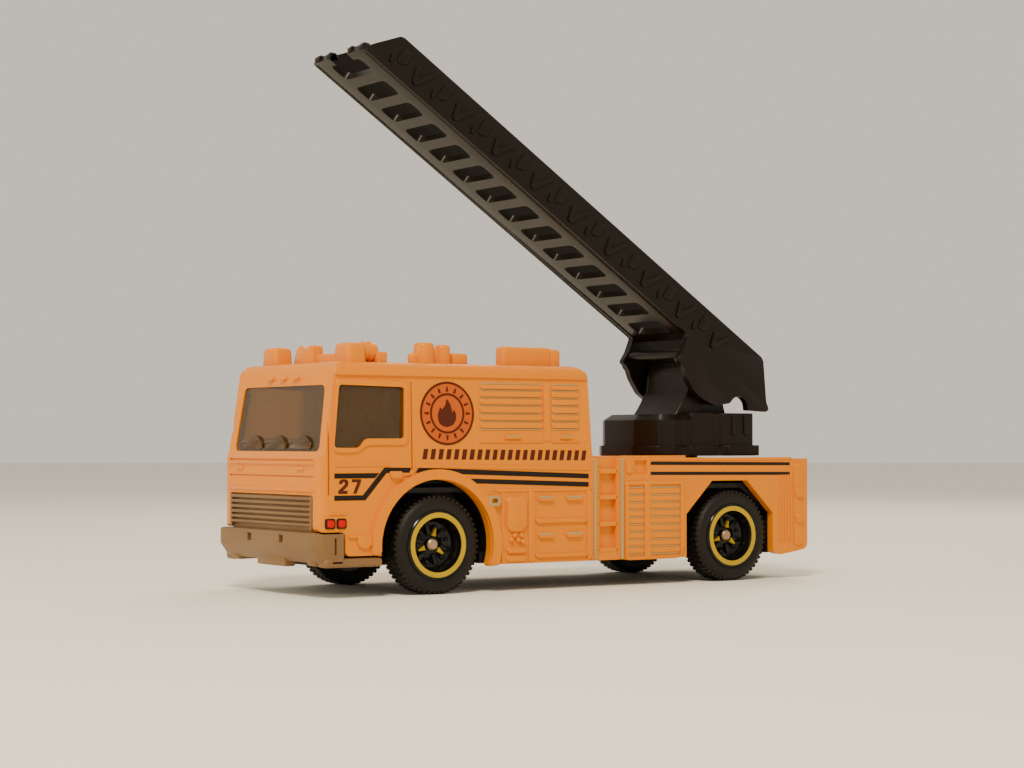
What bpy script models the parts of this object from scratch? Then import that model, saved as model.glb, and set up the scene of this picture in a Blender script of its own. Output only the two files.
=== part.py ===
"""Toy fire engine: a die-cast aerial ladder truck, about 78 mm long.

Sizes are in millimetres, and MM turns them into Blender's metres.  The cab faces -Y, the
truck's left side is +X, +Z is up.  Lengths are set out from a line between the axles, and one
empty then moves the whole truck so that the origin is on the ground under its middle.
"""

import math

import bmesh
import bpy
from mathutils import Matrix, Vector

MM = 0.001

# ---- Driving dimensions, in millimetres ------------------------------------------------

GAP = 0.3                    # clearance between pieces that touch on the real toy

# Running gear
WHEEL_R = 6.0
WHEEL_OUTER_X = 12.4         # outer face of a tyre
WHEEL_WIDTH = 3.8
FRONT_AXLE_Y = -20.4
REAR_AXLE_Y = 25.6
AXLE_R = 0.5
AXLE_HEAD_R = 0.72
AXLE_TIP_R = 0.55
AXLE_END_X = 11.3
AXLE_HEAD_LENGTH = 0.5
RUNNING_CLEARANCE = 0.1
HUB_R = 4.3
TYRE_BORE_R = HUB_R + 0.1
HUB_DISH_R = 3.1
HUB_FACE_X = AXLE_END_X - AXLE_HEAD_LENGTH - 0.25
HUB_INNER_X = 9.0
HUB_BOSS_R = 1.7
WHEEL_SIDES = 36
AXLE_SIDES = 24

# Body shell
HALF_WIDTH = 12.46
WALL = 1.1
FRONT_Y = -36.7
REAR_Y = 39.4
ROOF_Z = 28.0
BELT_Z = 15.7
DECK_Z = 16.45
ROCKER_Z = 3.4
CAB_FOOT_Z = 5.2             # lower edge of the cab's side, before the front wheel
HEADER_Y = -34.9             # front of the roof, over the windscreen
BOX_REAR_TOP_Y = 1.9
BOX_REAR_FOOT_Y = 2.6
NOSE_FLAT_HALF = 11.7        # half width of the flat nose between its corner chamfers
CORNER_CHAMFER = 0.8
ROOF_EDGE = 1.1
BEACON_X = 9.2
FRONT_ARCH_R = 7.6
REAR_ARCH = ((17.9, 0.0), (17.9, 8.9), (22.2, 13.3), (27.7, 13.3), (32.2, 8.9), (32.2, 0.0))

# Openings in the cab
SCREEN_TOP_Z = 25.2
SCREEN_FOOT_Z = 17.3
SCREEN_TOP_HALF = 10.2
SCREEN_FOOT_HALF = 10.8
SIDE_WINDOW = (
    (-33.9, 25.2), (-25.2, 25.1), (-25.4, 18.9), (-30.6, 18.9), (-32.0, 17.8), (-34.4, 17.8),
)
GRILLE_HALF = 10.4
GRILLE_FOOT_Z = 8.2
GRILLE_TOP_Z = 12.0
GRILLE_BARS = 6

# Bumper
BUMPER_FRONT_Y = -37.4
BUMPER_HALF = 12.9
BUMPER_FLAT_HALF = 12.1      # half width of its flat front
BUMPER_CORNER = 0.8
BUMPER_SLOT_X = 4.1
BUMPER_TOP_Z = 7.9
BUMPER_FOOT_Z = 4.0
BUMPER_LIP_Z = 3.4
BUMPER_REAR_Y = -33.6        # rear end of the part that wraps round the cab's corner
BUMPER_WALL = 2.3
NOSE_FOOT_Z = BUMPER_TOP_Z + GAP
STEP_REAR_Y = -28.4

# Posts of the body that carry the base, and the rivets that close them
POST_R = 1.9
POST_FOOT_Z = 5.6
POST_Y = (-9.0, 12.0)
RIVET_R = 0.8
RIVET_BORE_R = 0.9
RIVET_HEAD_R = 1.7
RIVET_HEAD = 0.5
RIVET_LENGTH = 3.4

# Base plate
BASE_FOOT_Z = 3.5
BASE_TOP_Z = 4.9
BASE_HALF = 10.9
BASE_NARROW_HALF = 7.6       # beside the wheels
AXLE_CRADLE_X = 5.6
AXLE_CRADLE_WIDTH = 1.6
AXLE_CRADLE_TOP_Z = 7.6
TUB_INNER_X = 7.0            # wheel tubs of the base, which also hold the axles down
TUB_OUTER_X = HALF_WIDTH - WALL - GAP
TUB_WALL = 0.6
TUB_TOP_Z = 12.9
FRONT_TUB_R = 8.4

# Turntable
TURNTABLE_Y = 26.65
FLANGE_FOOT_Z = DECK_Z + GAP
FLANGE_TOP_Z = 17.9
PLINTH_FRONT_TOP_Z = 21.9
PLINTH_REAR_TOP_Z = 22.4
FLANGE_LIP = 0.45
POST_BORE_R = 1.0
TURN_POST_R = 2.4
TURN_POST_FOOT_Z = 14.6
TURN_WASHER_R = 3.8
TURN_WASHER_Z = 13.5
NECK_HALF = 4.7
NECK_TOP_R = 2.4

# Ladder: s runs along it from the turntable's axis to the tip, h is square to it, upwards
LADDER_ANGLE = math.radians(33.64)
LADDER_FOOT = (TURNTABLE_Y, 30.38)   # y and z where s and h are zero
LADDER_HALF = 6.61
LADDER_WALL = 1.0
LADDER_FLOOR = 1.0
LADDER_HEIGHT = 4.75
LADDER_TIP_S = 64.9
LADDER_TIP_TOP_S = 61.6
LADDER_TAIL_S = -8.1
FLOOR_REAR_S = 3.4           # the trough's floor stops here, in front of the neck
PIVOT_S = -1.6
PIVOT_H = -1.8
PEG_R = 1.2
WINDOW_COUNT = 14
WINDOW_PITCH = 4.3
WINDOW_FIRST_S = 6.49
WINDOW_LENGTH = 2.7
WINDOW_HALF = 3.6
TIP_NOTCH_HALF = 2.2
TIP_NOTCH_S = 63.2


# ---- Materials ------------------------------------------------------------------------

def make_material(name, colour, roughness, metallic=0.0, alpha=1.0):
    material = bpy.data.materials.new(name)
    material.use_nodes = True
    shader = material.node_tree.nodes["Principled BSDF"]
    shader.inputs["Base Color"].default_value = (*colour, 1.0)
    shader.inputs["Roughness"].default_value = roughness
    shader.inputs["Metallic"].default_value = metallic
    shader.inputs["Alpha"].default_value = alpha
    return material


# ---- Mesh helpers, all taking millimetres ---------------------------------------------

def add_object(name, bm, material=None):
    """Scale a mesh from millimetres to metres and link it as an object."""
    bmesh.ops.transform(bm, matrix=Matrix.Scale(MM, 4), verts=bm.verts)
    bmesh.ops.recalc_face_normals(bm, faces=bm.faces)
    mesh = bpy.data.meshes.new(name)
    bm.to_mesh(mesh)
    bm.free()
    part = bpy.data.objects.new(name, mesh)
    bpy.context.scene.collection.objects.link(part)
    if material:
        mesh.materials.append(material)
    return part


def place(axis, along, across, up):
    """Put a point of an outline at a depth along the axis X, Y or Z."""
    if axis == "X":
        return (along, across, up)
    if axis == "Y":
        return (across, along, up)
    return (across, up, along)


def prism_mesh(axis, outline, low, high):
    """Extrude a closed outline along an axis, from low to high."""
    bm = bmesh.new()
    ends = []
    for along in (low, high):
        ends.append([bm.verts.new(place(axis, along, a, b)) for a, b in outline])
    bm.faces.new(ends[0])
    bm.faces.new(list(reversed(ends[1])))
    count = len(outline)
    for i in range(count):
        j = (i + 1) % count
        bm.faces.new((ends[0][i], ends[1][i], ends[1][j], ends[0][j]))
    return bm


def prism(name, axis, outline, low, high, material=None):
    return add_object(name, prism_mesh(axis, outline, low, high), material)


def rectangle(low_a, high_a, low_b, high_b):
    return [(low_a, low_b), (high_a, low_b), (high_a, high_b), (low_a, high_b)]


def box(name, x, y, z, material=None):
    return prism(name, "X", rectangle(y[0], y[1], z[0], z[1]), x[0], x[1], material)


def circle(centre_a, centre_b, radius, sides):
    """A polygon with a flat side downwards."""
    points = []
    for i in range(sides):
        angle = math.tau * (i + 0.5) / sides - math.pi / 2
        points.append((centre_a + radius * math.cos(angle), centre_b + radius * math.sin(angle)))
    return points


def arc(centre_a, centre_b, radius, start, end, steps):
    """Points on an arc, with the angles in degrees."""
    points = []
    for i in range(steps + 1):
        angle = math.radians(start + (end - start) * i / steps)
        points.append((centre_a + radius * math.cos(angle), centre_b + radius * math.sin(angle)))
    return points


def rod(name, axis, centre, radius, low, high, sides=AXLE_SIDES, material=None):
    return prism(name, axis, circle(centre[0], centre[1], radius, sides), low, high, material)


def turned(name, profile, sides, material):
    """Turn a closed profile of (x, radius) points about the X axis."""
    bm = bmesh.new()
    rings = []
    for i in range(sides):
        angle = math.tau * (i + 0.5) / sides - math.pi / 2
        ring = [bm.verts.new((x, r * math.cos(angle), r * math.sin(angle))) for x, r in profile]
        rings.append(ring)
    for i in range(sides):
        ring, following = rings[i], rings[(i + 1) % sides]
        for j in range(len(profile)):
            k = (j + 1) % len(profile)
            bm.faces.new((ring[j], ring[k], following[k], following[j]))
    return add_object(name, bm, material)


def apply_tool(part, tool, operation):
    modifier = part.modifiers.new(tool.name, "BOOLEAN")
    modifier.operation = operation
    modifier.solver = "EXACT"
    modifier.object = tool
    tool.hide_render = True
    tool.display_type = "WIRE"


def cut(part, *tools):
    for tool in tools:
        apply_tool(part, tool, "DIFFERENCE")


def fuse(part, *tools):
    for tool in tools:
        apply_tool(part, tool, "UNION")


def keep_inside(part, tool):
    apply_tool(part, tool, "INTERSECT")


# ---- Body shell -----------------------------------------------------------------------

def body_outline():
    """The truck's side, as (y, z) points."""
    return [
        (FRONT_Y, NOSE_FOOT_Z), (FRONT_Y, BELT_Z), (FRONT_Y + 0.6, 17.0), (HEADER_Y - 0.1, ROOF_Z - 1.0),
        (HEADER_Y + 0.5, ROOF_Z), (BOX_REAR_TOP_Y - 0.8, ROOF_Z), (BOX_REAR_TOP_Y, ROOF_Z - 0.8),
        (BOX_REAR_FOOT_Y, DECK_Z), (REAR_Y, DECK_Z), (REAR_Y, 5.0), (REAR_Y - 0.9, ROCKER_Z + 0.5),
        (REAR_Y - 6.0, ROCKER_Z), (FRONT_AXLE_Y, ROCKER_Z), (FRONT_AXLE_Y, CAB_FOOT_Z),
        (BUMPER_REAR_Y + GAP, CAB_FOOT_Z), (BUMPER_REAR_Y + GAP, NOSE_FOOT_Z),
    ]


def cavity_outline():
    """The hollow inside the shell, as (y, z) points."""
    return [
        (FRONT_Y + WALL, 0.0), (FRONT_Y + WALL, BELT_Z), (FRONT_Y + WALL + 0.6, 17.2),
        (HEADER_Y + WALL, ROOF_Z - 2.0), (HEADER_Y + WALL + 0.5, ROOF_Z - WALL),
        (BOX_REAR_TOP_Y - WALL, ROOF_Z - WALL), (BOX_REAR_FOOT_Y - WALL, DECK_Z - WALL),
        (REAR_Y - WALL, DECK_Z - WALL), (REAR_Y - WALL, 0.0),
    ]


def front_section():
    """The truck from the front, as (x, z) points, with its bevelled roof edges."""
    return [
        (-HALF_WIDTH, 0.0), (HALF_WIDTH, 0.0), (HALF_WIDTH, BELT_Z), (HALF_WIDTH - 0.3, ROOF_Z - ROOF_EDGE),
        (HALF_WIDTH - 0.3 - ROOF_EDGE, ROOF_Z), (-HALF_WIDTH + 0.3 + ROOF_EDGE, ROOF_Z),
        (-HALF_WIDTH + 0.3, ROOF_Z - ROOF_EDGE), (-HALF_WIDTH, BELT_Z),
    ]


def plan_outline():
    """The truck from above, as (x, y) points, with its chamfered nose."""
    side_y = FRONT_Y + CORNER_CHAMFER
    return [
        (-NOSE_FLAT_HALF, FRONT_Y - 1.0), (-NOSE_FLAT_HALF, FRONT_Y), (-HALF_WIDTH, side_y),
        (-HALF_WIDTH, REAR_Y), (HALF_WIDTH, REAR_Y), (HALF_WIDTH, side_y),
        (NOSE_FLAT_HALF, FRONT_Y), (NOSE_FLAT_HALF, FRONT_Y - 1.0),
    ]


def roof_fittings():
    """Beacons, vents and boxes that the casting carries on its roof."""
    foot = ROOF_Z - 0.5
    fittings = []
    for side in (-1, 1):
        x = side * BEACON_X
        fittings.append(box(f"beacon_{side}", (x - 1.8, x + 1.8), (-32.0, -29.8), (foot, 30.4)))
    cradle = [(-2.7, foot), (2.6, foot), (2.6, 30.2), (1.8, 30.2), (0.9, 29.8), (0.0, 30.2), (-1.2, 30.2)]
    fittings.append(prism("roof_cradle", "Y", cradle, -32.2, -30.8))
    fittings.append(box("roof_bar", (-0.5, 9.5), (-31.8, -30.6), (foot, 29.2)))
    fittings.append(prism("air_horn", "Y", circle(8.9, 29.3, 1.2, 12), -29.5, -27.0))
    fittings.append(box("horn_block", (7.6, 10.2), (-27.6, -26.2), (foot, 29.3)))
    for y, radius in ((-19.9, 1.1), (-17.1, 0.8)):
        fittings.append(rod(f"roof_vent_{y}", "Z", (8.2, y), radius, foot, 30.4, 16))
    fittings.append(box("vent_plinth", (7.2, 9.2), (-21.4, -14.6), (foot, 28.5)))
    fittings.append(box("roof_locker", (-8.6, -5.6), (-9.0, -4.6), (foot, 29.4)))
    fittings.append(box("roof_unit", (7.1, 9.0), (-8.6, 0.0), (foot, 30.4)))
    return fittings


def window_cutters():
    screen = [
        (-SCREEN_FOOT_HALF, SCREEN_FOOT_Z), (SCREEN_FOOT_HALF, SCREEN_FOOT_Z),
        (SCREEN_TOP_HALF, SCREEN_TOP_Z), (-SCREEN_TOP_HALF, SCREEN_TOP_Z),
    ]
    return [
        prism("windscreen_cutter", "Y", screen, FRONT_Y - 1.0, HEADER_Y + 2.0),
        prism("side_window_cutter", "X", SIDE_WINDOW, -HALF_WIDTH - 1.0, HALF_WIDTH + 1.0),
        box("grille_cutter", (-GRILLE_HALF - GAP, GRILLE_HALF + GAP), (FRONT_Y - 1.0, FRONT_Y + WALL + 0.5),
            (GRILLE_FOOT_Z - GAP, GRILLE_TOP_Z + GAP)),
    ]


def arch_cutters():
    reach = HALF_WIDTH + 1.0
    front = circle(FRONT_AXLE_Y, WHEEL_R, FRONT_ARCH_R, 40)
    return [
        prism("front_arch_cutter", "X", front, -reach, reach),
        prism("rear_arch_cutter", "X", REAR_ARCH, -reach, reach),
    ]


def make_body_shell(material):
    shell = prism("body_shell", "X", body_outline(), -HALF_WIDTH, HALF_WIDTH, material)
    keep_inside(shell, prism("section_guide", "Y", front_section(), FRONT_Y - 1.0, REAR_Y + 1.0))
    keep_inside(shell, prism("plan_guide", "Z", plan_outline(), 0.0, ROOF_Z + 1.0))
    inner_half = HALF_WIDTH - WALL
    cut(shell, prism("cavity_cutter", "X", cavity_outline(), -inner_half, inner_half))
    cut(shell, *window_cutters())
    cut(shell, *arch_cutters())
    fuse(shell, *roof_fittings())
    for i, y in enumerate(POST_Y):
        top = ROOF_Z - 0.5 if y < BOX_REAR_TOP_Y else DECK_Z - 0.5
        fuse(shell, rod(f"post_{i}", "Z", (0.0, y), POST_R, POST_FOOT_Z, top, 20))
        cut(shell, rod(f"post_bore_{i}", "Z", (0.0, y), RIVET_BORE_R, 0.0, POST_FOOT_Z + 3.5, 16))
    deck_hole = rod("deck_hole_cutter", "Z", (0.0, TURNTABLE_Y), TURN_POST_R + GAP, 14.0, 18.0)
    cut(shell, deck_hole)
    return shell


# ---- Front bumper and grille ----------------------------------------------------------

def bumper_plan():
    """The bumper from above, as (x, y) points: nose, chamfered corners and side returns."""
    inner = BUMPER_HALF - BUMPER_WALL
    half = [(BUMPER_FLAT_HALF, BUMPER_FRONT_Y), (BUMPER_HALF, BUMPER_FRONT_Y + BUMPER_CORNER)]
    half += [(BUMPER_HALF, BUMPER_REAR_Y)]
    half += [(inner, BUMPER_REAR_Y), (inner, BUMPER_FRONT_Y + BUMPER_WALL)]
    return half + [(-x, y) for x, y in reversed(half)]


def make_bumper(material):
    bumper = prism("front_bumper_grille", "Z", bumper_plan(), BUMPER_FOOT_Z, BUMPER_TOP_Z, material)
    fuse(bumper, box("bumper_lip", (-6.5, 6.5), (BUMPER_FRONT_Y, BUMPER_FRONT_Y + BUMPER_WALL),
                     (BUMPER_LIP_Z, BUMPER_FOOT_Z + 0.5)))
    for side in (-1, 1):
        reach = sorted((side * BUMPER_HALF, side * (BUMPER_HALF - BUMPER_WALL)))
        step = box(f"side_step_{side}", reach, (BUMPER_REAR_Y - 1.0, STEP_REAR_Y), (BUMPER_FOOT_Z - 0.3, 4.8))
        fuse(bumper, step)
    backing = box("grille_backing", (-GRILLE_HALF, GRILLE_HALF), (FRONT_Y + 0.3, FRONT_Y + WALL),
                  (GRILLE_FOOT_Z, GRILLE_TOP_Z))
    fuse(bumper, backing)
    neck = box("grille_neck", (-GRILLE_HALF, GRILLE_HALF), (BUMPER_FRONT_Y + 1.0, FRONT_Y + WALL),
               (GRILLE_FOOT_Z - 1.2, GRILLE_FOOT_Z + 0.4))
    fuse(bumper, neck)
    pitch = (GRILLE_TOP_Z - GRILLE_FOOT_Z) / GRILLE_BARS
    for i in range(GRILLE_BARS):
        foot = GRILLE_FOOT_Z + pitch * (i + 0.25)
        bar = box(f"grille_bar_{i}", (-GRILLE_HALF, GRILLE_HALF), (FRONT_Y - 0.3, FRONT_Y + 0.5),
                  (foot, foot + 0.6 * pitch))
        fuse(bumper, bar)
    for side in (-1, 1):
        x = side * BUMPER_SLOT_X
        slot = box(f"bumper_slot_{side}", (x - 0.5, x + 0.5), (BUMPER_FRONT_Y - 1.0, BUMPER_FRONT_Y + 0.6),
                   (6.4, 7.3))
        cut(bumper, slot)
    return bumper


# ---- Base plate -----------------------------------------------------------------------

def base_plan():
    """Half of the plate's plan, from nose to tail, then mirrored."""
    clear = WHEEL_R + 0.9
    half = [(BASE_NARROW_HALF + 2.0, -33.0), (BASE_NARROW_HALF + 2.0, FRONT_AXLE_Y - clear)]
    half += [(BASE_NARROW_HALF, FRONT_AXLE_Y - clear), (BASE_NARROW_HALF, FRONT_AXLE_Y + clear)]
    half += [(BASE_HALF, FRONT_AXLE_Y + clear), (BASE_HALF, REAR_AXLE_Y - clear)]
    half += [(BASE_NARROW_HALF, REAR_AXLE_Y - clear), (BASE_NARROW_HALF, REAR_AXLE_Y + clear)]
    half += [(BASE_HALF, REAR_AXLE_Y + clear), (BASE_HALF, REAR_Y - WALL - GAP)]
    return half + [(-x, y) for x, y in reversed(half)]


def front_tub_outline(radius, top):
    """The front wheel's tub from the side, open downwards."""
    points = [(FRONT_AXLE_Y - radius, BASE_FOOT_Z)] + arc(FRONT_AXLE_Y, WHEEL_R, radius, 180, 0, 28)
    points.append((FRONT_AXLE_Y + radius, BASE_FOOT_Z))
    return [(y, min(z, top)) for y, z in points]


def rear_tub_outline(grow, top):
    """The rear wheel's tub: the rear arch, grown, with a flat top."""
    centre = (REAR_ARCH[0][0] + REAR_ARCH[-1][0]) / 2
    grown = [(y + math.copysign(grow, y - centre), z + grow) for y, z in REAR_ARCH[1:-1]]
    points = [(grown[0][0], BASE_FOOT_Z)] + grown + [(grown[-1][0], BASE_FOOT_Z)]
    return [(y, min(z, top)) for y, z in points]


def wheel_tub(name, side, outside, inside):
    """A tub round one wheel, with a wall on its inner side."""
    reach = sorted((side * TUB_INNER_X, side * TUB_OUTER_X))
    hollow = sorted((side * (TUB_INNER_X + TUB_WALL), side * (TUB_OUTER_X + 1.0)))
    opened = [(inside[0][0], 0.0)] + inside + [(inside[-1][0], 0.0)]
    tub = prism(name, "X", outside, *reach)
    cut(tub, prism(f"{name}_hollow", "X", opened, *hollow))
    return tub


def add_wheel_tubs(base):
    top, under = TUB_TOP_Z, TUB_TOP_Z - TUB_WALL
    for side in (-1, 1):
        fuse(base, wheel_tub(f"front_tub_{side}", side, front_tub_outline(FRONT_TUB_R, top),
                             front_tub_outline(FRONT_TUB_R - TUB_WALL, under)))
        fuse(base, wheel_tub(f"rear_tub_{side}", side, rear_tub_outline(GAP + TUB_WALL, top),
                             rear_tub_outline(GAP, under)))
        clearance = sorted((side * (BUMPER_HALF - BUMPER_WALL - GAP), side * BUMPER_HALF))
        cut(base, box(f"step_clearance_{side}", clearance, (-30.0, STEP_REAR_Y + GAP), (3.0, 5.1)))
    for y in (FRONT_AXLE_Y, REAR_AXLE_Y):
        cut(base, rod(f"tub_axle_hole_{y}", "X", (y, WHEEL_R), AXLE_R + RUNNING_CLEARANCE, -9.0, 9.0))


def make_base(material):
    base = prism("chassis_base", "Z", base_plan(), BASE_FOOT_Z, BASE_TOP_Z, material)
    for y in (FRONT_AXLE_Y, REAR_AXLE_Y):
        for side in (-1, 1):
            x = side * AXLE_CRADLE_X
            reach = (x - AXLE_CRADLE_WIDTH / 2, x + AXLE_CRADLE_WIDTH / 2)
            fuse(base, box(f"cradle_{y}_{side}", reach, (y - 1.9, y + 1.9),
                           (BASE_TOP_Z - 0.3, AXLE_CRADLE_TOP_Z)))
    for y in (FRONT_AXLE_Y, REAR_AXLE_Y):
        slot_r = AXLE_R + RUNNING_CLEARANCE
        slot = [(y - slot_r, 9.0)] + arc(y, WHEEL_R, slot_r, 180, 360, 12) + [(y + slot_r, 9.0)]
        cut(base, prism(f"axle_slot_{y}", "X", slot, -8.0, 8.0))
    add_wheel_tubs(base)
    for y in POST_Y:
        cut(base, rod(f"rivet_hole_{y}", "Z", (0.0, y), RIVET_BORE_R, 0.0, 9.0, 16))
        cut(base, rod(f"rivet_sink_{y}", "Z", (0.0, y), RIVET_HEAD_R + 0.3, 0.0,
                      BASE_FOOT_Z + RIVET_HEAD, 20))
    return base


def make_base_rivet(name, y, material):
    """A headed rivet, seated in the base's counterbore and running up into its post."""
    head_foot = BASE_FOOT_Z
    rivet = rod(name, "Z", (0.0, y), RIVET_HEAD_R, head_foot, head_foot + RIVET_HEAD - 0.2, 20, material)
    shank = rod(f"{name}_shank", "Z", (0.0, y), RIVET_R, head_foot + 0.1, head_foot + RIVET_LENGTH, 16)
    fuse(rivet, shank)
    return rivet


# ---- Cab ------------------------------------------------------------------------------

def glazing_outline(inset):
    """The glazing's side, as (y, z) points, set in from the inside of the cab."""
    return [
        (FRONT_Y + WALL + 0.6 + inset, 16.6), (FRONT_Y + WALL + 0.9 + inset, 17.2),
        (HEADER_Y + WALL + 0.3 + inset, ROOF_Z - 2.0),
        (HEADER_Y + WALL + 0.8 + inset, ROOF_Z - WALL - GAP - inset),
        (-23.4, ROOF_Z - WALL - GAP - inset), (-23.4, 16.6),
    ]


def make_glazing(material):
    """One smoked moulding: windscreen, side windows and a roof that joins them."""
    half = HALF_WIDTH - WALL - GAP
    pane = 0.7
    glazing = prism("window_glazing", "X", glazing_outline(0.0), -half, half, material)
    hollow = glazing_outline(pane)
    hollow[0] = (hollow[0][0], 15.0)
    hollow[-1] = (-20.0, 15.0)
    hollow[-2] = (-20.0, hollow[-2][1])
    cut(glazing, prism("glazing_hollow", "X", hollow, -half + pane, half - pane))
    return glazing


def make_interior(material):
    """Dashboard, floor and two seats in one moulding."""
    floor_z = 13.2
    interior = box("cab_interior", (-9.6, 9.6), (-33.7, -15.0), (floor_z, floor_z + 1.0), material)
    dash = [(-33.7, floor_z), (-33.7, 16.3), (-33.0, 17.0), (-31.8, 16.4), (-31.8, floor_z)]
    fuse(interior, prism("dashboard", "X", dash, -9.0, 9.0))
    for side in (-1, 1):
        centre = side * 4.8
        reach = (centre - 2.7, centre + 2.7)
        seat = [
            (-29.0, floor_z + 0.5), (-29.0, 15.8), (-24.8, 15.8), (-24.2, 21.4), (-23.4, 21.8),
            (-22.6, 21.4), (-22.8, floor_z + 0.5),
        ]
        fuse(interior, prism(f"seat_{side}", "X", seat, *reach))
    column = [(-32.4, 16.0), (-29.7, 17.6), (-30.0, 18.1), (-32.7, 16.5)]
    wheel = [(-30.3, 19.0), (-29.3, 16.4), (-28.8, 16.6), (-29.8, 19.2)]
    fuse(interior, prism("steering_column", "X", column, 4.4, 5.2))
    fuse(interior, prism("steering_wheel", "X", wheel, 3.2, 6.4))
    return interior


# ---- Wheels and axles -----------------------------------------------------------------

def make_axle(name, y, material):
    """A steel pin with a headed end beyond each hub."""
    neck = AXLE_END_X - AXLE_HEAD_LENGTH
    half = [(neck, AXLE_R), (neck, AXLE_HEAD_R), (AXLE_END_X - 0.15, AXLE_HEAD_R), (AXLE_END_X, AXLE_TIP_R)]
    profile = [(-x, r) for x, r in reversed(half)] + half
    bm = bmesh.new()
    rings = []
    for x, r in profile:
        ring = [bm.verts.new((x, a, b)) for a, b in circle(0.0, 0.0, r, AXLE_SIDES)]
        rings.append(ring)
    for ring, following in zip(rings, rings[1:]):
        for j in range(AXLE_SIDES):
            k = (j + 1) % AXLE_SIDES
            bm.faces.new((ring[j], ring[k], following[k], following[j]))
    bm.faces.new(rings[0])
    bm.faces.new(rings[-1])
    axle = add_object(name, bm, material)
    axle.location = (0.0, y * MM, WHEEL_R * MM)
    return axle


def tyre_profile(side):
    inner = WHEEL_OUTER_X - WHEEL_WIDTH
    points = [
        (inner, TYRE_BORE_R), (inner, WHEEL_R - 0.5), (inner + 0.4, WHEEL_R), (WHEEL_OUTER_X - 0.4, WHEEL_R),
        (WHEEL_OUTER_X, WHEEL_R - 0.5), (WHEEL_OUTER_X, TYRE_BORE_R),
    ]
    return [(side * x, r) for x, r in points]


def hub_profile(side):
    bore = AXLE_R + RUNNING_CLEARANCE
    rim_x = WHEEL_OUTER_X + 0.06
    points = [
        (HUB_INNER_X, bore), (HUB_INNER_X, HUB_R), (rim_x, HUB_R), (rim_x, HUB_DISH_R),
        (HUB_FACE_X + 0.3, HUB_DISH_R - 0.4), (HUB_FACE_X - 0.3, HUB_BOSS_R), (HUB_FACE_X, HUB_BOSS_R - 0.3),
        (HUB_FACE_X, bore),
    ]
    return [(side * x, r) for x, r in points]


def make_wheel(label, y, side, tyre_material, hub_material):
    """A rubber tyre and its hub, both turning with an empty on the axle's line."""
    centre = bpy.data.objects.new(f"{label}_wheel_centre", None)
    bpy.context.scene.collection.objects.link(centre)
    centre.location = (0.0, y * MM, WHEEL_R * MM)
    tyre = turned(f"{label}_tyre", tyre_profile(side), WHEEL_SIDES, tyre_material)
    hub = turned(f"{label}_hub", hub_profile(side), WHEEL_SIDES, hub_material)
    tyre.parent = centre
    hub.parent = centre


# ---- Turntable ------------------------------------------------------------------------

def plinth_plan(grow):
    """The stepped plinth from above, as (x, y) points: front block, waist and rear block."""
    half = [
        (3.4, 16.2), (6.4, 18.1), (6.4, 20.9), (5.4, 21.4), (5.4, 22.8), (6.4, 23.6), (6.4, 27.8),
        (7.4, 28.4), (7.4, 33.4), (3.6, 35.0),
    ]
    grown = []
    for x, y in half:
        away = Vector((x, y - TURNTABLE_Y)).normalized() * grow
        grown.append((x + away.x, y + away.y))
    return grown + [(-x, y) for x, y in reversed(grown)]


def neck_outline():
    """The neck's side, as (y, z) points, ending round the ladder's pivot."""
    pivot_y, pivot_z = ladder_point(PIVOT_S, PIVOT_H)
    points = [(31.0, 22.0), (21.8, 22.0), (21.8, 22.8), (24.3, 25.0)]
    points += arc(pivot_y, pivot_z, NECK_TOP_R, 200, -20, 14)
    return points


def make_turntable(material):
    turntable = prism("turntable", "Z", plinth_plan(FLANGE_LIP), FLANGE_FOOT_Z, FLANGE_TOP_Z, material)
    fuse(turntable, prism("plinth", "Z", plinth_plan(0.0), FLANGE_FOOT_Z + 0.2, PLINTH_FRONT_TOP_Z))
    rear = [(x, y) for x, y in plinth_plan(0.0) if y > 23.0]
    fuse(turntable, prism("plinth_rear", "Z", rear, 20.0, PLINTH_REAR_TOP_Z))
    fuse(turntable, prism("neck", "X", neck_outline(), -NECK_HALF, NECK_HALF))
    fuse(turntable, rod("turn_post", "Z", (0.0, TURNTABLE_Y), TURN_POST_R, TURN_POST_FOOT_Z, 18.0))
    cut(turntable, rod("turn_post_bore", "Z", (0.0, TURNTABLE_Y), POST_BORE_R, 13.0, 19.0, 16))
    pivot = ladder_point(PIVOT_S, PIVOT_H)
    cut(turntable, rod("peg_socket", "X", pivot, PEG_R + RUNNING_CLEARANCE, -NECK_HALF - 1.0,
                       NECK_HALF + 1.0))
    return turntable


def make_turntable_rivet(material):
    """Holds the turntable's post from under the deck, and turns with it."""
    rivet = rod("turntable_rivet", "Z", (0.0, TURNTABLE_Y), TURN_WASHER_R, TURN_WASHER_Z,
                TURN_POST_FOOT_Z - GAP, AXLE_SIDES, material)
    shank = rod("turn_rivet_shank", "Z", (0.0, TURNTABLE_Y), POST_BORE_R - 0.1, TURN_WASHER_Z + 0.2, 18.5, 16)
    fuse(rivet, shank)
    return rivet


# ---- Ladder ---------------------------------------------------------------------------

def ladder_point(s, h):
    """Turn ladder coordinates into (y, z)."""
    y = LADDER_FOOT[0] - s * math.cos(LADDER_ANGLE) + h * math.sin(LADDER_ANGLE)
    z = LADDER_FOOT[1] + s * math.sin(LADDER_ANGLE) + h * math.cos(LADDER_ANGLE)
    return (y, z)


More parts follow.
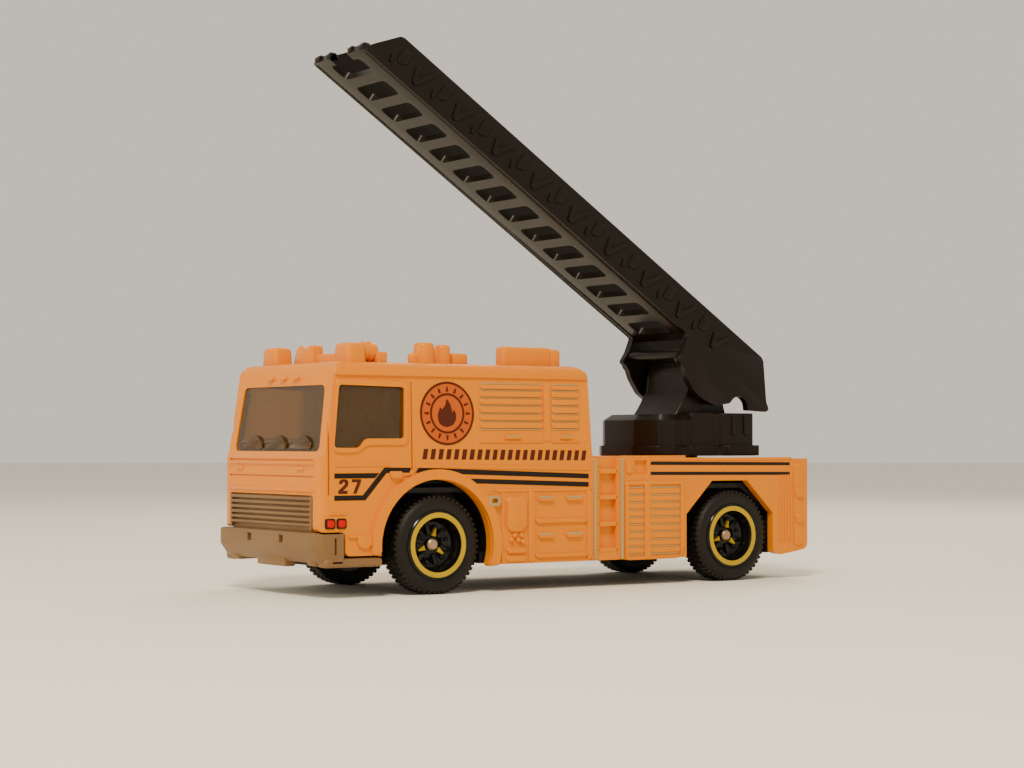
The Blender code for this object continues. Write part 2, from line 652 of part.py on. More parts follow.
def side_wall_outline():
    """A side wall with its round ear and tail, as (s, h) points."""
    points = [(LADDER_TIP_S, 0.0), (LADDER_TIP_S - 0.6, 1.3), (LADDER_TIP_TOP_S, LADDER_HEIGHT)]
    points.append((LADDER_TAIL_S, LADDER_HEIGHT))
    points += [(-11.9, 0.0), (-12.8, -0.4), (-12.7, -1.0), (-10.5, -2.3), (-9.8, -2.7)]
    points += arc(-8.2, -3.4, 1.6, 155, -10, 8)
    points += [(-4.5, -5.5), (-2.2, -5.9), (-0.6, -5.9), (1.6, -5.0), (3.0, -4.0), (4.2, -3.9)]
    return points + [(4.1, -2.4), (4.4, 0.0)]


def make_ladder(material):
    """A trough with a wall each side, windows between its rungs and two pegs on its ears."""
    walls = []
    for side in (-1, 1):
        reach = sorted((side * LADDER_HALF, side * (LADDER_HALF - LADDER_WALL)))
        walls.append((side, reach))
    outline = [ladder_point(s, h) for s, h in side_wall_outline()]
    ladder = prism("ladder", "X", outline, *walls[0][1], material)
    fuse(ladder, prism("ladder_wall", "X", outline, *walls[1][1]))
    across = (-LADDER_HALF + 0.2, LADDER_HALF - 0.2)
    floor = rectangle(FLOOR_REAR_S, LADDER_TIP_S, 0.0, LADDER_FLOOR)
    fuse(ladder, prism("ladder_floor", "X", [ladder_point(s, h) for s, h in floor], *across))
    tail = [(-5.2, 0.9), (-5.2, 1.9), (-11.0, 0.9), (-12.6, -0.5), (-12.4, -1.0), (-10.5, -0.3)]
    fuse(ladder, prism("ladder_tail", "X", [ladder_point(s, h) for s, h in tail], *across))
    fuse(ladder, rod("ear_bar", "X", ladder_point(3.4, -2.4), 0.6, *across, sides=12))
    for i in range(WINDOW_COUNT):
        s = WINDOW_FIRST_S + i * WINDOW_PITCH
        window = rectangle(s - WINDOW_LENGTH / 2, s + WINDOW_LENGTH / 2, -1.0, LADDER_FLOOR + 0.5)
        cut(ladder, prism(f"rung_window_{i}", "X", [ladder_point(a, b) for a, b in window],
                          -WINDOW_HALF, WINDOW_HALF))
    notch = rectangle(TIP_NOTCH_S, LADDER_TIP_S + 1.0, -1.0, LADDER_FLOOR + 0.5)
    cut(ladder, prism("tip_notch", "X", [ladder_point(a, b) for a, b in notch],
                      -TIP_NOTCH_HALF, TIP_NOTCH_HALF))
    pivot = ladder_point(PIVOT_S, PIVOT_H)
    for side, reach in walls:
        peg_reach = sorted((side * (LADDER_HALF - 0.3), side * (NECK_HALF - 1.6)))
        fuse(ladder, rod(f"peg_{side}", "X", pivot, PEG_R, *peg_reach))
    return ladder


# ---- Assembly -------------------------------------------------------------------------

def centre_truck():
    """Hang every piece and cutter on one empty that moves the truck's middle to the origin."""
    centre = bpy.data.objects.new("truck_centre", None)
    for made in list(bpy.context.scene.objects):
        if made.parent is None:
            made.parent = centre
    bpy.context.scene.collection.objects.link(centre)
    centre.location.y = -(BUMPER_FRONT_Y + REAR_Y) / 2 * MM


def main():
    for old in list(bpy.data.objects):
        bpy.data.objects.remove(old, do_unlink=True)

    orange = make_material("orange_enamel", (1.0, 0.33, 0.012), 0.3)
    bronze = make_material("bronze_plastic", (0.26, 0.19, 0.12), 0.5)
    black = make_material("black_base_plastic", (0.02, 0.02, 0.02), 0.5)
    ladder_black = make_material("ladder_plastic", (0.022, 0.02, 0.018), 0.42)
    turntable_black = make_material("turntable_plastic", (0.022, 0.02, 0.018), 0.42)
    smoke = make_material("smoked_clear", (0.12, 0.08, 0.04), 0.05, alpha=0.4)
    interior_black = make_material("interior_plastic", (0.03, 0.03, 0.03), 0.6)
    rubber = make_material("tyre_rubber", (0.015, 0.015, 0.015), 0.8)
    gloss = make_material("hub_plastic", (0.02, 0.02, 0.02), 0.2)
    steel = make_material("axle_steel", (0.6, 0.56, 0.5), 0.35, metallic=1.0)

    make_body_shell(orange)
    make_bumper(bronze)
    make_base(black)
    make_glazing(smoke)
    make_interior(interior_black)
    for label, y in (("front", FRONT_AXLE_Y), ("rear", REAR_AXLE_Y)):
        make_axle(f"{label}_axle", y, steel)
        make_wheel(f"{label}_left", y, 1, rubber, gloss)
        make_wheel(f"{label}_right", y, -1, rubber, gloss)
    for label, y in zip(("front", "rear"), POST_Y):
        make_base_rivet(f"base_rivet_{label}", y, steel)
    make_turntable(turntable_black)
    make_turntable_rivet(steel)
    make_ladder(ladder_black)
    centre_truck()


main()
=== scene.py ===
"""The looks of the toy fire engine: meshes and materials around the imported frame.

Meshes are modelled in millimetres, with y measured from a line between the axles. Each piece
is moved to the frame's origin and scaled to metres as it is made. The cab faces -Y, the truck's
left side is +X and +Z is up.
"""

import math

import bmesh
import bpy
from mathutils import Matrix, Vector


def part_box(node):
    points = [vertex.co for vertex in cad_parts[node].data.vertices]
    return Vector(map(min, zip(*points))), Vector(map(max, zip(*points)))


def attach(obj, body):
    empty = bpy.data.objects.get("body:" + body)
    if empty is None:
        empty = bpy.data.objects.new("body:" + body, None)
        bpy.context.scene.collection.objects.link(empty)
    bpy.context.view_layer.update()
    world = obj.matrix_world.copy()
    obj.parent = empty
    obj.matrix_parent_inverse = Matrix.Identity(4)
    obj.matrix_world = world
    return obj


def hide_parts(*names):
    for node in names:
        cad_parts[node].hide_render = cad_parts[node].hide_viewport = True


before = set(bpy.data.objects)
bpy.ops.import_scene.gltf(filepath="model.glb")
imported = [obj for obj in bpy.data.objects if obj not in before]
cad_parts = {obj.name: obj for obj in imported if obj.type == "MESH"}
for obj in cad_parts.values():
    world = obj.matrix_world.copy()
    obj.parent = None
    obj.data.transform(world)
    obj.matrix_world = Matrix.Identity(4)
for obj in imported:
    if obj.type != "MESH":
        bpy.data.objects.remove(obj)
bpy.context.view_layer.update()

MM = 0.001
TO_MM = 1000.0


# ---- Driving dimensions, in millimetres, read from the frame where it holds them ----

def box_mm(node):
    low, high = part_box(node)
    return low * TO_MM, high * TO_MM


def middle_y(node):
    return sum(corner.y for corner in box_mm(node)) / 2


FRONT_AXLE_Y = -20.4                # every y here is measured from a line 20.4 behind the front axle
SHIFT_Y = middle_y("front_axle") - FRONT_AXLE_Y     # added to such a y, it gives the frame's y
REAR_AXLE_Y = middle_y("rear_axle") - SHIFT_Y
TURN_Y = middle_y("turntable_rivet") - SHIFT_Y
BODY_LOW, BODY_HIGH = box_mm("body_shell")
TYRE_LOW, TYRE_HIGH = box_mm("front_left_tyre")
HALF = BODY_HIGH.x                  # half the body's width
FRONT_Y = BODY_LOW.y - SHIFT_Y
REAR_Y = BODY_HIGH.y - SHIFT_Y
WALL = 1.1                          # how thick the casting is
BELT_Z = 15.7                       # the sides lean in above this height
DECK_Z = 16.45
ROOF_Z = 28.0
ROCKER_Z = 3.4
CAB_FOOT_Z = 5.0
NOSE_FOOT_Z = 7.85
CAB_WRAP_Y = -33.3                  # just behind the ends of the bumper
WHEEL_R = TYRE_HIGH.z / 2
WHEEL_OUTER_X = TYRE_HIGH.x
WHEEL_INNER_X = TYRE_LOW.x
AXLE_END_X = box_mm("front_axle")[1].x
PRINT = 0.03                        # how proud a print stands
FRONT_ARCH_R = 7.9
FRONT_ARCH_Y = FRONT_AXLE_Y - 0.25
FRONT_LIP_R = 9.15
REAR_ARCH = ((17.8, 0.0), (17.8, 9.0), (22.1, 13.3), (28.1, 13.3), (32.6, 8.9), (32.6, 0.0))
SIDE_LEAN = 0.3                     # the sides lean in by this much at the roof
TAIL_LAMP_Z = (11.5, 8.1)
TAIL_SLATS = 8
TAIL_PITCH = 1.05
TURNTABLE_POST_R = 2.4

LADDER_ANGLE = math.radians(33.64)
LADDER_FOOT_Z = 30.38
LADDER_HALF = 6.61
LADDER_WALL = 1.0
LADDER_TIP_S = 64.9
LADDER_TIP_TOP_S = 61.6
TIP_NOTCH_S = 63.2
TIP_NOTCH_HALF = 2.2
KNOB_S = 64.55
PIVOT = (-1.6, -1.8)                # along the ladder and square to it
PEG_R = 1.2
FLOOR_REAR_S = 3.4
RUNG_WINDOWS = 14
RUNG_PITCH = 4.3
RUNG_FIRST_S = 6.49
RUNG_LENGTH = 2.7
RUNG_HALF = 3.6
TRUSS_UNITS = 9
TRUSS_PITCH = 7.1


# ---- Outlines ----

def rectangle(low_a, high_a, low_b, high_b):
    return [(low_a, low_b), (high_a, low_b), (high_a, high_b), (low_a, high_b)]


def arc(centre, radius, start, end, steps):
    """Points on an arc, with the angles in degrees."""
    points = []
    for i in range(steps + 1):
        angle = math.radians(start + (end - start) * i / steps)
        points.append((centre[0] + radius * math.cos(angle), centre[1] + radius * math.sin(angle)))
    return points


def circle(centre, radius, sides):
    return arc(centre, radius, 0, 360 - 360 / sides, sides - 1)


def fillet(points, radius, steps=4):
    """Round every corner of a closed outline with a quadratic curve."""
    rounded = []
    count = len(points)
    for i, corner in enumerate(points):
        here = Vector(corner)
        before = Vector(points[i - 1]) - here
        after = Vector(points[(i + 1) % count]) - here
        reach = min(radius, before.length * 0.45, after.length * 0.45)
        start = here + before.normalized() * reach
        end = here + after.normalized() * reach
        for j in range(steps + 1):
            t = j / steps
            point = start * (1 - t) ** 2 + here * 2 * t * (1 - t) + end * t ** 2
            rounded.append((point.x, point.y))
    return rounded


def block(a, b, radius):
    return fillet(rectangle(a[0], a[1], b[0], b[1]), radius)


def both_ways(half):
    """Close half an outline with its mirror image on the truck's other side."""
    return half + [(-x, other) for x, other in reversed(half)]


def sided(side, near, far):
    """A range of x on one side of the truck, its low end first."""
    return sorted((side * near, side * far))


# ---- Meshes, in millimetres ----

def place(axis, along, a, b):
    if axis == "X":
        return (along, a, b)
    if axis == "Y":
        return (a, along, b)
    return (a, b, along)


def soften(bm, edges, offset):
    bmesh.ops.bevel(bm, geom=list(edges), offset=offset, segments=3, profile=0.5, affect="EDGES",
                    clamp_overlap=True)


def prism(axis, outline, low, high, soft=0.0, ends=(True, True)):
    """Extrude an outline; soft rounds the edges of its low and high ends."""
    bm = bmesh.new()
    rings = []
    for along in (low, high):
        rings.append([bm.verts.new(place(axis, along, a, b)) for a, b in outline])
    caps = [bm.faces.new(rings[0]), bm.faces.new(list(reversed(rings[1])))]
    count = len(outline)
    for i in range(count):
        j = (i + 1) % count
        bm.faces.new((rings[0][i], rings[1][i], rings[1][j], rings[0][j]))
    if soft:
        edges = set()
        for cap, wanted in zip(caps, ends):
            if wanted:
                edges.update(cap.edges)
        soften(bm, edges, soft)
    bmesh.ops.recalc_face_normals(bm, faces=bm.faces)
    return bm


def cuboid(x, y, z, soft):
    """A block with every edge rounded."""
    bm = prism("Z", rectangle(x[0], x[1], y[0], y[1]), z[0], z[1])
    soften(bm, bm.edges, soft)
    return bm


def rod(axis, centre, radius, low, high, sides=32, soft=0.0):
    return prism(axis, circle(centre, radius, sides), low, high, soft)


def turned(profile, sides, centre=(0.0, 0.0)):
    """Turn a closed (x, radius) profile about a line along X through centre (y, z)."""
    bm = bmesh.new()
    rings = []
    for i in range(sides):
        angle = math.tau * i / sides
        across, up = math.cos(angle), math.sin(angle)
        rings.append([bm.verts.new((x, centre[0] + r * across, centre[1] + r * up)) for x, r in profile])
    for i in range(sides):
        ring, following = rings[i], rings[(i + 1) % sides]
        for j in range(len(profile)):
            k = (j + 1) % len(profile)
            bm.faces.new((ring[j], ring[k], following[k], following[j]))
    bmesh.ops.remove_doubles(bm, verts=bm.verts, dist=1e-5)
    bmesh.ops.recalc_face_normals(bm, faces=bm.faces)
    return bm


def moved(bm, matrix):
    bmesh.ops.transform(bm, matrix=matrix, verts=bm.verts)
    return bm


def split_level(bm, z):
    """Cut every face that crosses a height, so that the shape can bend there."""
    bmesh.ops.bisect_plane(bm, geom=list(bm.verts) + list(bm.edges) + list(bm.faces),
                           plane_co=(0.0, 0.0, z), plane_no=(0.0, 0.0, 1.0))


def saved_mesh(name, bm):
    """A named mesh from a bmesh, which is freed."""
    mesh = bpy.data.meshes.new(name)
    bm.to_mesh(mesh)
    bm.free()
    return mesh


def add_object(name, data):
    made = bpy.data.objects.new(name, data)
    bpy.context.scene.collection.objects.link(made)
    return made


def joined(meshes):
    """One mesh of several, which are freed."""
    total = bmesh.new()
    for bm in meshes:
        mesh = saved_mesh("part", bm)
        total.from_mesh(mesh)
        bpy.data.meshes.remove(mesh)
    return total


def temporary(bm):
    return add_object("tool", saved_mesh("tool", bm))


def carve(bm, tools, operation="DIFFERENCE"):
    """Cut, add or keep with each tool in turn, and return the result."""
    target = temporary(bm)
    helpers = [temporary(tool) for tool in tools]
    for helper in helpers:
        modifier = target.modifiers.new("carve", "BOOLEAN")
        modifier.operation = operation
        modifier.solver = "EXACT"
        modifier.object = helper
    bpy.context.view_layer.update()
    result = bmesh.new()
    result.from_object(target, bpy.context.evaluated_depsgraph_get())
    for made in [target] + helpers:
        mesh = made.data
        bpy.data.objects.remove(made, do_unlink=True)
        bpy.data.meshes.remove(mesh)
    return result


def mirrored(bm):
    """A copy on the other side of the truck."""
    copy = bm.copy()
    bmesh.ops.scale(copy, vec=(-1.0, 1.0, 1.0), verts=copy.verts)
    bmesh.ops.reverse_faces(copy, faces=copy.faces)
    return copy


def lean(bm):
    """Follow the sides, which lean in above the belt."""
    for vert in bm.verts:
        rise = max(0.0, vert.co.z - BELT_Z) / (ROOF_Z - BELT_Z)
        vert.co.x -= math.copysign(SIDE_LEAN * rise, vert.co.x)
    return bm


def relief(outline, proud, soft, sink=0.5, base=0.0):
    """A raised shape on both sides of the body, from its (y, z) outline."""
    left = lean(prism("X", outline, HALF + base - sink, HALF + base + proud, soft, ends=(False, True)))
    return [left, mirrored(left)]


def raised(y, z, radius, proud, soft, **places):
    """A raised block with rounded corners on both sides of the body."""
    return relief(block(y, z, radius), proud, soft, **places)


def sheet(outline, base=0.0):
    """A thin printed shape on both sides of the body."""
    return relief(outline, PRINT, soft=0.0, sink=0.1, base=base)


# ---- Pieces ----

def piece(name, bm, material, body, replaces=(), sharp=38.0):
    """Move a mesh to the frame, in metres, shade it, hang it on its body and hide the CAD nodes it
    replaces.
    """
    to_frame = Matrix.Scale(MM, 4) @ Matrix.Translation((0.0, SHIFT_Y, 0.0))
    mesh = saved_mesh(name, moved(bm, to_frame))
    made = add_object(name, mesh)
    mesh.materials.append(material)
    mesh.shade_smooth()
    mesh.set_sharp_from_angle(angle=math.radians(sharp))
    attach(made, body)
    if replaces:
        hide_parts(*replaces)
    return made


# ---- Materials ----

def ramp_between(nodes, links, factor, low, high):
    """Map a 0 to 1 factor to a range of values."""
    mapping = nodes.new("ShaderNodeMapRange")
    mapping.inputs["To Min"].default_value = low
    mapping.inputs["To Max"].default_value = high
    links.new(factor, mapping.inputs["Value"])
    return mapping.outputs["Result"]


MOTTLE_SCALE = 140.0
GRAIN_DEPTH = 0.0002
ACRYLIC_IOR = 1.49


def finish(name, colour, shade, roughness, grain=2200.0, bump=0.05, metallic=0.0, shine=0.25,
           tint=(1.0, 1.0, 1.0)):
    """A moulded or painted finish: mottled colour, uneven roughness and a fine grain."""
    material = bpy.data.materials.new(name)
    material.use_nodes = True
    nodes = material.node_tree.nodes
    links = material.node_tree.links
    shader = nodes["Principled BSDF"]
    shader.inputs["Metallic"].default_value = metallic
    shader.inputs["Specular IOR Level"].default_value = shine
    shader.inputs["Specular Tint"].default_value = (*tint, 1.0)
    place_on = nodes.new("ShaderNodeTexCoord")

    broad = nodes.new("ShaderNodeTexNoise")
    broad.inputs["Scale"].default_value = MOTTLE_SCALE
    broad.inputs["Detail"].default_value = 3.0
    links.new(place_on.outputs["Object"], broad.inputs["Vector"])
    mix = nodes.new("ShaderNodeMix")
    mix.data_type = "RGBA"
    mix.inputs["A"].default_value = (*colour, 1.0)
    mix.inputs["B"].default_value = (*shade, 1.0)
    links.new(broad.outputs["Fac"], mix.inputs["Factor"])
    links.new(mix.outputs["Result"], shader.inputs["Base Color"])
    rough = ramp_between(nodes, links, broad.outputs["Fac"], roughness[0], roughness[1])
    links.new(rough, shader.inputs["Roughness"])

    fine = nodes.new("ShaderNodeTexNoise")
    fine.inputs["Scale"].default_value = grain
    fine.inputs["Detail"].default_value = 4.0
    links.new(place_on.outputs["Object"], fine.inputs["Vector"])
    dents = nodes.new("ShaderNodeBump")
    dents.inputs["Strength"].default_value = bump
    dents.inputs["Distance"].default_value = GRAIN_DEPTH
    links.new(fine.outputs["Fac"], dents.inputs["Height"])
    links.new(dents.outputs["Normal"], shader.inputs["Normal"])
    return material


# Smoke-brown clear plastic. Its base colour is pushed to amber, which is painted yellow light standing in
# for the warm light reflected in and seen through the windscreen.
def smoked_clear():
    material = finish("smoked_clear", (0.46, 0.25, 0.04), (0.40, 0.21, 0.03), (0.03, 0.07),
                      grain=500.0, bump=0.02)
    shader = material.node_tree.nodes["Principled BSDF"]
    shader.inputs["Transmission Weight"].default_value = 0.92
    shader.inputs["IOR"].default_value = ACRYLIC_IOR
    return material


ORANGE = finish("orange_enamel", (0.78, 0.225, 0.0), (0.74, 0.21, 0.0), (0.2, 0.28),
                grain=1500.0, bump=0.05, shine=0.45, tint=(1.0, 0.55, 0.08))
BRONZE = finish("bronze_plastic", (0.26, 0.145, 0.060), (0.20, 0.11, 0.045), (0.34, 0.5),
                grain=2500.0, bump=0.15, metallic=0.35)
SILVER = finish("silver_print", (0.52, 0.36, 0.15), (0.42, 0.28, 0.1), (0.3, 0.42),
                grain=3000.0, bump=0.2, metallic=0.35)
BLACK = finish("satin_black_plastic", (0.010, 0.006, 0.003), (0.006, 0.004, 0.002),
               (0.28, 0.40), grain=1800.0, bump=0.1, shine=0.2)
GLOSS = finish("gloss_black_plastic", (0.004, 0.004, 0.004), (0.003, 0.003, 0.003),
               (0.12, 0.22), grain=900.0, bump=0.03)
RUBBER = finish("tyre_rubber", (0.009, 0.007, 0.0045), (0.006, 0.0045, 0.003), (0.45, 0.6),
                grain=2600.0, bump=0.25)
DARK = finish("dark_plastic", (0.008, 0.007, 0.007), (0.005, 0.005, 0.005), (0.45, 0.6),
              grain=1600.0, bump=0.15, shine=0.3)
SEAT = finish("seat_plastic", (0.020, 0.014, 0.009), (0.012, 0.009, 0.006), (0.4, 0.6),
              grain=1600.0, bump=0.2)
STRIPE = finish("stripe_ink", (0.009, 0.004, 0.002), (0.006, 0.003, 0.002), (0.4, 0.5))
BADGE = finish("badge_ink", (0.085, 0.010, 0.001), (0.06, 0.008, 0.001), (0.4, 0.5))
FILL = finish("badge_fill", (0.56, 0.095, 0.0), (0.48, 0.08, 0.0), (0.38, 0.5))
RED = finish("red_lens", (0.60, 0.001, 0.0), (0.52, 0.001, 0.0), (0.2, 0.3), tint=(1.0, 0.4, 0.3))
YELLOW = finish("yellow_print", (0.50, 0.33, 0.0), (0.43, 0.27, 0.0), (0.3, 0.42),
                grain=2600.0, bump=0.08)
STEEL = finish("axle_steel", (0.46, 0.32, 0.2), (0.34, 0.23, 0.14), (0.3, 0.5), grain=3200.0,
               bump=0.25, metallic=0.8)
SMOKE_AND_PAINTED_AMBER = smoked_clear()


# ---- Body casting ----

def body_outline():
    """The truck's side, as (y, z) points, with its edges rounded."""
    corners = [
        (FRONT_Y, NOSE_FOOT_Z), (FRONT_Y, 16.6), (FRONT_Y + 0.7, 17.2), (-34.7, 26.4), (-34.0, ROOF_Z),
        (0.9, ROOF_Z), (2.0, 27.0), (2.6, DECK_Z), (REAR_Y, DECK_Z - 0.3), (REAR_Y, 5.0),
        (REAR_Y - 1.0, 3.9), (33.7, 3.2), (32.2, 3.9), (20.0, ROCKER_Z), (-12.0, ROCKER_Z),
        (FRONT_AXLE_Y, ROCKER_Z), (FRONT_AXLE_Y, CAB_FOOT_Z), (CAB_WRAP_Y, CAB_FOOT_Z),
        (CAB_WRAP_Y, NOSE_FOOT_Z),
    ]
    return fillet(corners, 0.7)


def body_section():
    """The truck from the front, as (x, z) points, with its rounded roof edges."""
    top = HALF - SIDE_LEAN
    return fillet(both_ways([(HALF, 0.0), (HALF, BELT_Z), (top, ROOF_Z - 0.9), (top - 0.9, ROOF_Z)]), 0.9)


def body_plan():
    """The truck from above, as (x, y) points, with its rounded corners."""
    return fillet(both_ways([(HALF, REAR_Y), (HALF, FRONT_Y)]), 1.3, 6)


def cavity_outline():
    """The hollow inside the casting, as (y, z) points."""
    return [
        (FRONT_Y + WALL, 0.0), (FRONT_Y + WALL, 16.2), (FRONT_Y + WALL + 0.6, 17.2), (-33.6, 26.0),
        (-33.2, ROOF_Z - WALL), (0.2, ROOF_Z - WALL), (1.2, DECK_Z - WALL), (REAR_Y - WALL, DECK_Z - WALL),
        (REAR_Y - WALL, 0.0),
    ]


SIDE_WINDOW = ((-34.15, 25.2), (-25.2, 25.0), (-25.3, 18.85), (-30.6, 18.85), (-31.5, 17.75),
               (-34.9, 17.75))
SCREEN = ((-10.9, 17.3), (10.9, 17.3), (10.35, 25.2), (-10.35, 25.2))
DOOR_SEAMS = ((-35.55, 12.2), (-24.15, 14.4))       # each seam's place along the truck and its foot
SEAM_DEPTH = 0.45
STEP_DEPTH = 0.75


def body_cutters():
    """Windows, grille opening, wheel arches and the recesses along the sides."""
    reach = HALF + 1.0
    cutters = [
        prism("Y", fillet(SCREEN, 0.9), FRONT_Y - 1.0, -31.0),
        prism("X", fillet(SIDE_WINDOW, 0.45), -reach, reach),
        prism("Y", block((-10.7, 10.7), (7.0, 12.15), 0.3), FRONT_Y - 1.0, FRONT_Y + WALL + 0.5),
        prism("X", circle((FRONT_ARCH_Y, WHEEL_R), FRONT_ARCH_R, 72), -reach, reach),
        prism("X", REAR_ARCH, -reach, reach),
    ]
    for side in (-1, 1):
        deep = sided(side, HALF - STEP_DEPTH, reach)
        cutters.append(prism("X", rectangle(3.7, 6.4, 4.4, 17.0), *deep))
        shallow = sided(side, HALF - SEAM_DEPTH, reach)
        cutters.append(prism("X", block((9.3, 11.3), (14.3, 16.1), 0.08), *shallow))
        for y, foot in DOOR_SEAMS:
            cutters.append(prism("X", rectangle(y - 0.1, y + 0.1, foot, 25.6), *shallow))
    crease = rectangle(-10.8, 10.8, FRONT_Y - 1.0, FRONT_Y + 0.22)
    for z, height in ((16.3, 0.22), (14.35, 0.16)):
        cutters.append(prism("Z", crease, z - height / 2, z + height / 2))
    cutters.append(rod("Z", (0.0, TURN_Y), TURNTABLE_POST_R + 0.3, 14.0, 18.0))
    return cutters


def roof_cap():
    """The proud band round the top of the cab and box."""
    return relief(fillet([(-34.7, 26.35), (-34.4, 27.3), (1.6, 27.3), (2.0, 26.3)], 0.25), 0.2, 0.14)


def door_relief():
    """The window's raised frame, the crease and handle below it, and the small fittings low down."""
    outer = [(-35.0, 17.2), (-34.55, 25.85), (-24.6, 25.65), (-24.75, 18.1), (-30.5, 18.1), (-31.7, 17.2)]
    surround = prism("X", fillet(outer, 0.6), HALF - 0.4, HALF + 0.2, 0.14, ends=(False, True))
    surround = lean(carve(surround, [prism("X", fillet(SIDE_WINDOW, 0.45), 0.0, HALF + 2.0)]))
    parts = [surround, mirrored(surround)]
    parts += raised((-34.7, -27.3), (15.55, 15.85), 0.1, 0.08, 0.06)
    parts += raised((-27.3, -25.7), (14.15, 14.95), 0.2, 0.45, 0.15)
    parts += raised((-25.9, -24.5), (14.45, 14.75), 0.1, 0.2, 0.08)
    parts += relief(circle((-24.15, 14.75), 0.35, 20), 0.15, 0.08)
    parts += relief(fillet([(-31.8, 7.3), (-31.6, 5.9), (-29.9, 5.85), (-29.7, 7.3)], 0.4), 0.26, 0.2)
    parts += raised((-32.95, -29.2), (7.15, 7.45), 0.12, 0.24, 0.12)
    parts += raised((-35.5, -33.1), (9.9, 10.15), 0.1, 0.12, 0.08)
    return parts


def arch_lip():
    """The rounded lip round the front wheel's opening, with its foot at the rocker."""
    centre = (FRONT_ARCH_Y, WHEEL_R)
    outer = arc(centre, FRONT_LIP_R, -16, 186, 48)
    inner = arc(centre, FRONT_ARCH_R + 0.05, 188, -19, 48)
    foot = [(-12.9, 3.2), (-11.9, 3.3)]
    return relief(outer + inner + foot, 0.5, 0.45, sink=1.0)


def belt_relief():
    """The long crease below the lettering and the thin ridges of the cab's nose."""
    parts = relief(fillet([(-23.7, 15.35), (2.15, 14.85), (2.15, 15.25), (-23.7, 15.8)], 0.12), 0.1, 0.07)
    for z in (15.95, 12.75):
        parts.append(cuboid((-10.9, 10.9), (FRONT_Y - 0.18, FRONT_Y + 0.2), (z - 0.22, z + 0.22), 0.14))
    for side in (-1, 1):
        x = side * 7.8
        parts.append(cuboid((x - 0.8, x + 0.8), (FRONT_Y - 0.25, FRONT_Y + 0.2), (15.1, 15.5), 0.12))
    return parts


LOUVRES = ((-14.4, -5.1), (-3.7, 0.5))
LOUVRE_LINES = (25.6, 24.8, 23.85, 22.9, 21.9, 20.95, 20.0)


def louvre_relief():
    """Convex slats under the roof cap, the post between them, and the sills and boxes below."""
    parts = []
    for left, right in LOUVRES:
        for upper, lower in zip(LOUVRE_LINES, LOUVRE_LINES[1:]):
            parts += raised((left, right), (lower + 0.16, upper - 0.12), 0.2, 0.22, 0.2)
        parts += raised((left - 0.1, right + 0.1), (18.35, 18.6), 0.1, 0.12, 0.09)
    parts += raised((-4.85, -3.95), (18.5, 25.9), 0.2, 0.14, 0.12)
    for left, right in ((-10.8, -8.5), (-2.4, -0.7)):
        parts += raised((left, right), (18.8, 19.3), 0.12, 0.3, 0.12)
    return parts


def lower_panel_relief():
    """Locker, valve panel and the two roller doors ahead of the side steps."""
    parts = relief(fillet([(-12.0, 12.3), (2.1, 12.3), (2.1, 12.6), (-12.6, 12.6)], 0.1), 0.12, 0.08)
    parts += raised((-11.3, -11.0), (3.6, 12.3), 0.1, 0.14, 0.1)
    parts += raised((-7.3, -6.4), (3.6, 12.3), 0.2, 0.22, 0.16)
    parts += raised((1.7, 2.3), (3.6, 12.3), 0.2, 0.22, 0.14)
    parts += raised((-10.6, -7.7), (7.4, 11.7), 0.7, 0.35, 0.3)
    for y, z in ((-9.9, 6.35), (-9.4, 6.9), (-8.9, 6.3), (-8.4, 6.9), (-8.2, 6.1)):
        parts += relief(circle((y, z), 0.32, 20), 0.4, 0.18)
    for low, high in ((3.7, 4.4), (4.75, 5.4)):
        parts += raised((-10.6, -7.7), (low, high), 0.25, 0.28, 0.2)
    for low, high in ((8.35, 8.85), (4.05, 4.5)):
        parts += raised((-6.2, 1.7), (low, high), 0.2, 0.28, 0.2)
    for z in (11.1, 6.5):
        for left, right in ((-5.9, -3.6), (-1.6, 0.8)):
            parts += raised((left, right), (z, z + 0.65), 0.2, 0.36, 0.18)
    return parts


DECK_FRAME = ((7.7, 3.3), (7.7, 13.4), (17.3, 13.4), (17.3, 4.4), (16.4, 3.3))
DECK_LINES = 10
DECK_PITCH = 0.95
DECK_FIRST_Z = 12.55
DECK_COLUMNS = ((8.2, 10.8), (11.7, 16.7))


def deck_relief():
    """The slatted deck side, its frame, the steps, the rear posts and the tail lights."""
    rim = prism("X", fillet(DECK_FRAME, 0.5), HALF - 0.4, HALF + 0.24, 0.14, ends=(False, True))
    holes = [prism("X", block(span, (3.75, 12.95), 0.2), HALF - 1.0, HALF + 1.0) for span in DECK_COLUMNS]
    rim = carve(rim, holes)
    parts = [rim, mirrored(rim)]
    for span in DECK_COLUMNS:
        for i in range(DECK_LINES - 1):
            top = DECK_FIRST_Z - DECK_PITCH * i
            parts += raised(span, (top - DECK_PITCH + 0.18, top - 0.12), 0.2, 0.14, 0.12)
    for z in (14.7, 11.4, 8.0, 4.7):
        parts += raised((3.6, 6.5), (z - 0.28, z + 0.28), 0.15, 0.75, 0.2, base=-0.75, sink=0.4)
    for span in ((2.35, 3.3), (6.65, 7.5)):
        parts += raised(span, (3.5, 16.4), 0.2, 0.16, 0.12)
    parts += raised((7.9, 8.8), (14.4, 15.9), 0.2, 0.2, 0.15)
    parts += raised((12.0, 36.0), (16.0, 16.35), 0.15, 0.08, 0.06)
    for i in range(5):
        y = 33.65 + 0.5 * i
        parts += raised((y, y + 0.25), (5.0, 14.0), 0.08, 0.1, 0.07)
    parts += raised((36.3, 37.7), (4.5, 15.5), 0.3, 0.22, 0.16)
    for z in TAIL_LAMP_Z:
        parts += raised((36.45, 37.55), (z - 0.6, z + 0.6), 0.3, 0.5, 0.2)
    return parts


HORN = (8.9, 29.3)                  # across and up
VENT_X = 8.2
VENT_TAPER = 0.85


